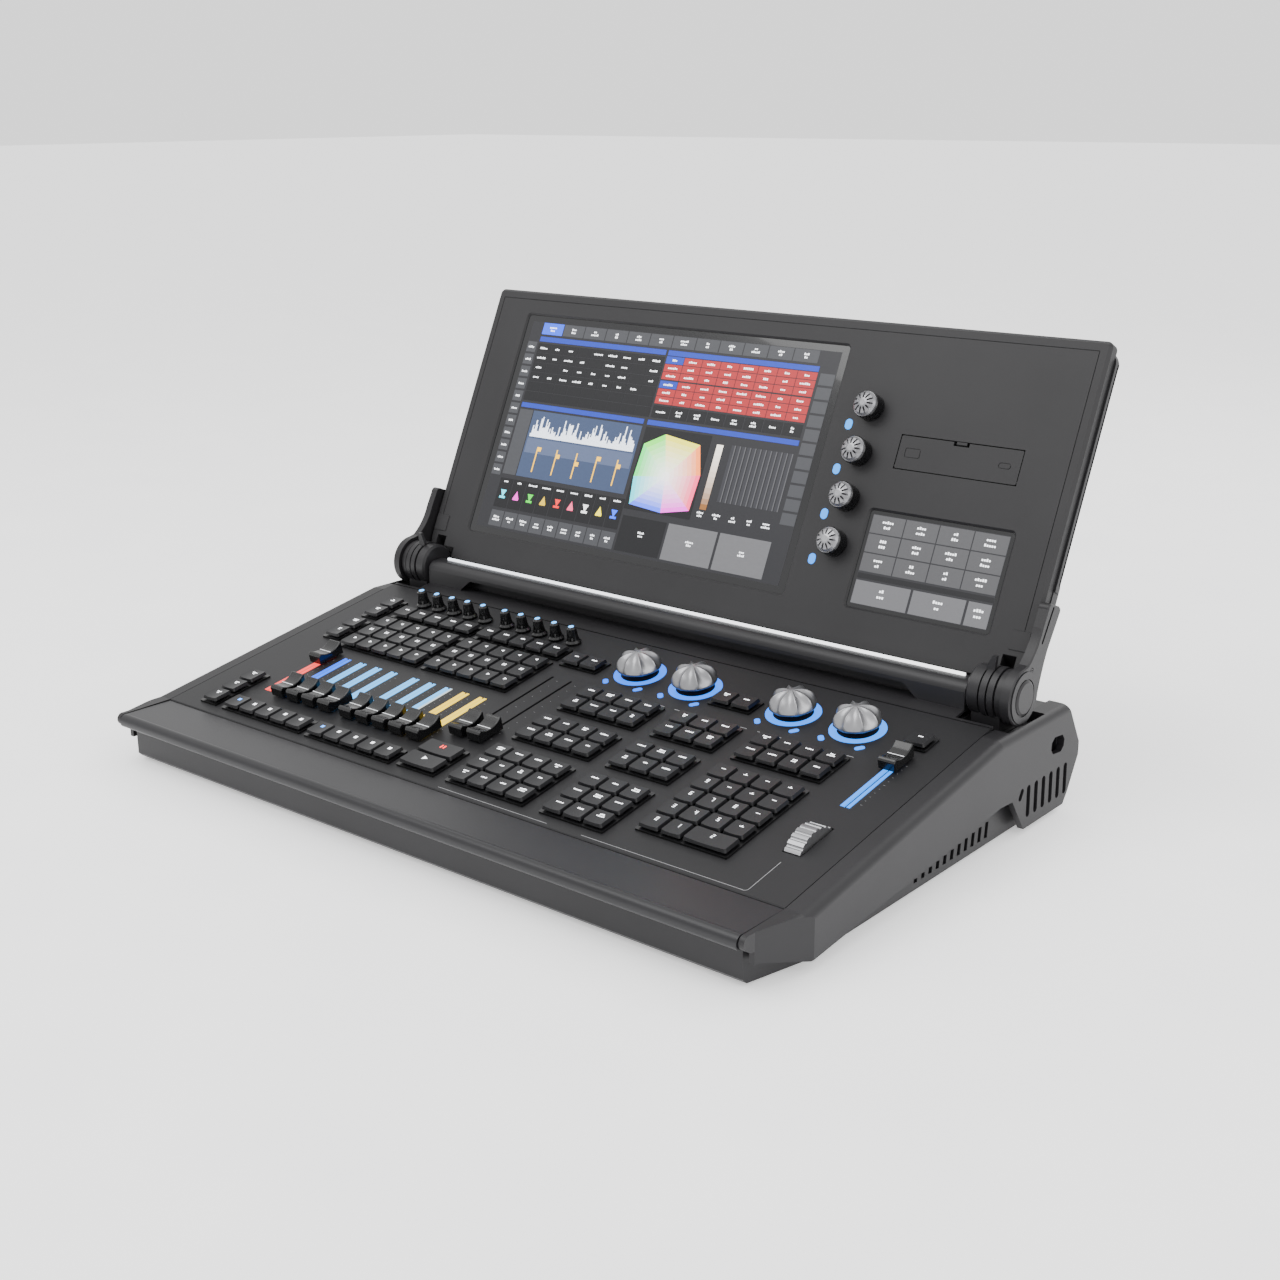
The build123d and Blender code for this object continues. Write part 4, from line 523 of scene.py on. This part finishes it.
def main_screen_marks():
    rng = random.Random(11)
    x0, x1, s0, s1 = screen_area("main_display")
    w, h = x1 - x0 - 14, s1 - s0 - 12
    ox, oy = x0 + 7, s0 + 6
    out = [(rect(ox, ox + w, oy, oy + h), DEEP, (0.012, 0.012, 0.014))]

    def at(a, b, c, d, colour, level=0.1, edge=0.5):
        cell(out, ox + a * w, ox + b * w, oy + c * h, oy + d * h, colour, level, edge)

    def label(a, c, wide, rows):
        out.extend(dashes(rng, ox + a * w, oy + c * h, wide, DEEP + 0.3, WHITE, rows, 1.9, 2.9))

    for i in range(12):
        tab = (0.02, 0.08, 0.7) if i == 0 else GREY
        at(0.04 + i * 0.075, 0.04 + (i + 1) * 0.075, 0.94, 1.0, tab)
        label(0.078 + i * 0.075, 0.97, 17, 2)
    for j in range(11):
        at(0.0, 0.036, 0.25 + j * 0.06, 0.305 + j * 0.06, GREY)
        label(0.018, 0.277 + j * 0.06, 7, 1)
        at(0.955, 1.0, 0.25 + j * 0.06, 0.305 + j * 0.06, GREY)
    # Grid window, upper left.
    at(0.04, 0.48, 0.905, 0.933, TITLE)
    for j in range(6):
        low, high = 0.62 + j * 0.0465, 0.62 + (j + 1) * 0.0465
        for i in range(9):
            at(0.04 + i * 0.0489, 0.04 + (i + 1) * 0.0489, low, high, DARK, edge=0.25)
            if j > 1 and rng.random() < 0.85:
                label(0.064 + i * 0.0489, 0.643 + j * 0.0465, 13, 1)
    # Red button table, upper right.
    at(0.485, 0.95, 0.905, 0.933, TITLE)
    for group in range(2):
        for j in range(3):
            for i in range(8):
                a = 0.485 + i * 0.058
                c = 0.685 + group * 0.112 + j * 0.036
                chosen = i == 0 and j == 2
                at(a, a + 0.058, c, c + 0.036, TITLE if chosen else (0.28, 0.015, 0.018), edge=0.3)
                label(a + 0.029, c + 0.018, 12, 1)
    for i in range(8):
        at(0.485 + i * 0.058, 0.543 + i * 0.058, 0.62, 0.68, DARK)
        label(0.514 + i * 0.058, 0.65, 12, 2 if i % 3 else 1)
    # Timeline window with a waveform and cue marks.
    at(0.04, 0.47, 0.585, 0.612, TITLE)
    at(0.04, 0.09, 0.26, 0.58, GREY)
    at(0.09, 0.47, 0.26, 0.58, (0.03, 0.045, 0.09))
    for i in range(90):
        wave = math.sin(i * 0.61) * math.sin(i * 0.13 + 0.4) + 0.3 * math.sin(i * 2.3)
        tall = 0.012 + 0.075 * abs(wave)
        a = 0.1 + i * 0.004
        at(a, a + 0.0037, 0.455, 0.458 + tall, (0.8, 0.85, 0.95), 0.25, 0.0)
    at(0.095, 0.465, 0.375, 0.45, (0.06, 0.08, 0.14), 0.2)
    for i in range(5):
        flag = 0.02 * (i % 3)
        at(0.14 + i * 0.07, 0.144 + i * 0.07, 0.29, 0.41, AMBER, 0.35, 0.0)
        at(0.144 + i * 0.07, 0.155 + i * 0.07, 0.39 - flag, 0.41 - flag, AMBER, 0.35, 0.0)
    # Colour picker with its bar, and a ribbed window beside it.
    at(0.48, 0.95, 0.585, 0.612, TITLE)
    at(0.48, 0.695, 0.2, 0.58, DARK)
    centre = (0.585, 0.37)
    gamut = [
        (0.495, 0.225, (0.01, 0.08, 1.0)), (0.6, 0.21, (0.9, 0.0, 0.75)),
        (0.685, 0.24, (1.0, 0.02, 0.15)),
        (0.69, 0.4, (1.0, 0.2, 0.0)), (0.665, 0.53, (0.8, 0.75, 0.0)), (0.55, 0.555, (0.1, 0.8, 0.02)),
        (0.49, 0.5, (0.0, 0.75, 0.1)), (0.485, 0.35, (0.0, 0.6, 0.7)),
    ]
    steps = 8
    for k, first in enumerate(gamut):
        second = gamut[(k + 1) % len(gamut)]
        for ring in range(steps):
            f, g = ring / steps, (ring + 1) / steps
            corners = []
            for point, along in ((first, f), (second, f), (second, g), (first, g)):
                a = centre[0] + (point[0] - centre[0]) * along
                c = centre[1] + (point[1] - centre[1]) * along
                corners.append((ox + a * w, oy + c * h))
            fade = (ring + 0.5) / steps
            tone = tuple(0.9 * (1 - fade) + channel * fade for channel in first[2])
            out.append((corners, DEEP + 0.25, tone))
    for i in range(12):
        f = i / 11
        tone = (0.85 - 0.65 * f, 0.8 - 0.72 * f, 0.7 - 0.68 * f)
        at(0.715, 0.735, 0.52 - i * 0.024, 0.544 - i * 0.024, tone, 0.25, 0.0)
    for i in range(12):
        at(0.76 + i * 0.0155, 0.769 + i * 0.0155, 0.3, 0.55, (0.02, 0.02, 0.024), 0.2, 0.0)
        at(0.769 + i * 0.0155, 0.772 + i * 0.0155, 0.3, 0.55, (0.06, 0.06, 0.065), 0.2, 0.0)
    for i in range(5):
        label(0.72 + i * 0.05, 0.235, 10, 2)
    # Icon tiles and the grey cells under them.
    tiles = [
        (0.05, 0.7, 0.85), (0.85, 0.03, 0.6), (0.03, 0.6, 0.03), (0.6, 0.4, 0.02), (0.75, 0.02, 0.02),
        (0.85, 0.08, 0.2), (0.85, 0.85, 0.85), (0.9, 0.75, 0.02), (0.02, 0.1, 0.95),
    ]
    for i, colour in enumerate(tiles):
        a = 0.04 + i * 0.0489
        at(a, a + 0.0489, 0.1, 0.245, DARK)
        mx, my = ox + (a + 0.0245) * w, oy + 0.165 * h
        out.append((turned(TRIANGLE, mx, my + 1.2, 90 if i % 2 else -90, 3.3), DEEP + 0.25, colour))
        out.append((rect(mx - 3.6, mx + 3.6, my - 3.8, my - 1.6), DEEP + 0.3, colour))
        label(a + 0.0245, 0.228, 12, 1)
    for i in range(9):
        at(0.04 + i * 0.0489, 0.04 + (i + 1) * 0.0489, 0.01, 0.09, GREY)
        label(0.064 + i * 0.0489, 0.05, 13, 2)
    for i, (a, b) in enumerate(((0.485, 0.63), (0.635, 0.79), (0.795, 0.95))):
        at(a, b, 0.01, 0.175, (0.09, 0.09, 0.095) if i else DARK)
        label((a + b) / 2, 0.1, 26, 2)
    return out


def side_screen_marks():
    rng = random.Random(5)
    x0, x1, s0, s1 = screen_area("side_display")
    x0, x1, s0, s1 = x0 + 3, x1 - 3, s0 + 3, s1 - 3
    w, h = x1 - x0, s1 - s0
    row = 0.213
    out = [(rect(x0, x1, s0, s1), DEEP, (0.012, 0.012, 0.014))]
    for j in range(3):
        low, high = s0 + h * (0.36 + j * row), s0 + h * (0.36 + (j + 1) * row)
        for i in range(4):
            cell(out, x0 + i * w / 4, x0 + (i + 1) * w / 4, low, high, (0.05, 0.05, 0.053), 0.1)
            x, s = x0 + (i + 0.5) * w / 4, s0 + h * (0.47 + j * row)
            out.extend(dashes(rng, x, s, 20, DEEP + 0.3, WHITE, rows=2, height=2.2, pitch=4.4))
    cell(out, x0, x1, s0 + h * 0.28, s0 + h * 0.35, DARK, 0.1)
    for a, b in ((0.0, 0.42), (0.43, 0.82), (0.83, 1.0)):
        cell(out, x0 + a * w, x0 + b * w, s0, s0 + h * 0.27, (0.085, 0.085, 0.09), 0.1)
        x, s, wide = x0 + (a + b) / 2 * w, s0 + h * 0.15, (b - a) * w * 0.7
        out.extend(dashes(rng, x, s, wide, DEEP + 0.3, WHITE, rows=2, height=2.4, pitch=4.8))
    return out


FILM = 0.04
marks("main_display_picture", LID, "lid", screen_marks, main_screen_marks(), FILM)
marks("side_display_picture", LID, "lid", screen_marks, side_screen_marks(), FILM)

# ---------------------------------------------------------------- printing on the panel
INK = (0.3, 0.3, 0.31)
LIFT = 0.02
prints = []
# The framing line: two runs along the front, one up the right, and the arc that joins them.
for a, b in ((3.4, 112.8), (145.2, 284.5)):
    prints.append((rect(a, b, 3.5, 3.9), LIFT, INK))
prints.append((rect(287.4, 287.8, 6.4, 42.7), LIFT, INK))
for i in range(6):
    a, b = math.radians(-90 + i * 15), math.radians(-75 + i * 15)
    ends = ((2.9, a), (3.3, a), (3.3, b), (2.9, b))
    arc = [(284.5 + r * math.cos(t), 6.6 + r * math.sin(t)) for r, t in ends]
    prints.append((arc, LIFT, INK))
# Eleven ticks along each fader's travel.
for node in NODES:
    if "fader" in node:
        cx, cy = middle(*local(node, PANEL))
        limits = JOINTS[node + "_slide"]["range_m"]
        first, last = cy + limits[0] / MM, cy + limits[1] / MM
        for i in range(11):
            t = first + (last - first) * i / 10
            end = 9.4 if i % 5 == 0 else 8.8
            prints.append((rect(cx + 7.8, cx + end, t - 0.12, t + 0.12), LIFT, INK))
# A row of short dashes on the right half of the panel.
for i in range(12):
    prints.append((rect(72 + i * 16, 78 + i * 16, 182.6, 183.2), LIFT, INK))
marks("panel_printing", PANEL, "desk", print_marks, prints, 0.05)

# ---------------------------------------------------------------- setting, light and camera
floor_mat = surface("floor_white", (0.86, 0.86, 0.87), (0.9, 0.9, 0.9), 0.6, bump=0.0)
bpy.ops.mesh.primitive_plane_add(size=40, location=(0, 0, float(cad_lo.z)))
floor = bpy.context.object
floor.name = "floor"
floor_shader = floor_mat.node_tree.nodes["Principled BSDF"]
floor_shader.inputs["Emission Color"].default_value = (1, 1, 1, 1)
floor_shader.inputs["Emission Strength"].default_value = 0.55
floor.data.materials.append(floor_mat)

world = bpy.data.worlds.new("studio")
bpy.context.scene.world = world
world.use_nodes = True
world.node_tree.nodes["Background"].inputs["Color"].default_value = (1, 1, 1, 1)
world.node_tree.nodes["Background"].inputs["Strength"].default_value = 1.5


def area(name, place, aim, size, power):
    lamp = bpy.data.lights.new(name, "AREA")
    lamp.size = size
    lamp.energy = power
    obj = bpy.data.objects.new(name, lamp)
    obj.location = place
    obj.rotation_mode = "QUATERNION"
    obj.rotation_quaternion = (Vector(aim) - Vector(place)).to_track_quat("-Z", "Y")
    bpy.context.scene.collection.objects.link(obj)


area("key_light", (-0.6, -0.9, 2.0), (0, 0, 0.1), 1.6, 34)
area("side_light", (2.0, -0.2, 1.2), (0, 0, 0.15), 1.4, 16)
area("rim_light", (0.4, 1.8, 1.6), (0, 0.1, 0.2), 1.2, 14)

camera = bpy.data.cameras.new("camera")
camera.lens = 49.09
camera.sensor_width = 36
camera.clip_start = 0.05
camera.clip_end = 60
eye = bpy.data.objects.new("camera", camera)
# The camera's own axes in the frame, for the photograph's angle.
right = Vector((0.77106, 0.63675, -0.00381))
down = Vector((0.18562, -0.23049, -0.95521))
ahead = Vector((-0.60910, 0.73582, -0.29592))
turn = Matrix((right, -down, -ahead)).transposed()
eye.matrix_world = Matrix.Translation((0.89073, -1.02677, 0.53181)) @ turn.to_4x4()
bpy.context.scene.collection.objects.link(eye)
bpy.context.scene.camera = eye
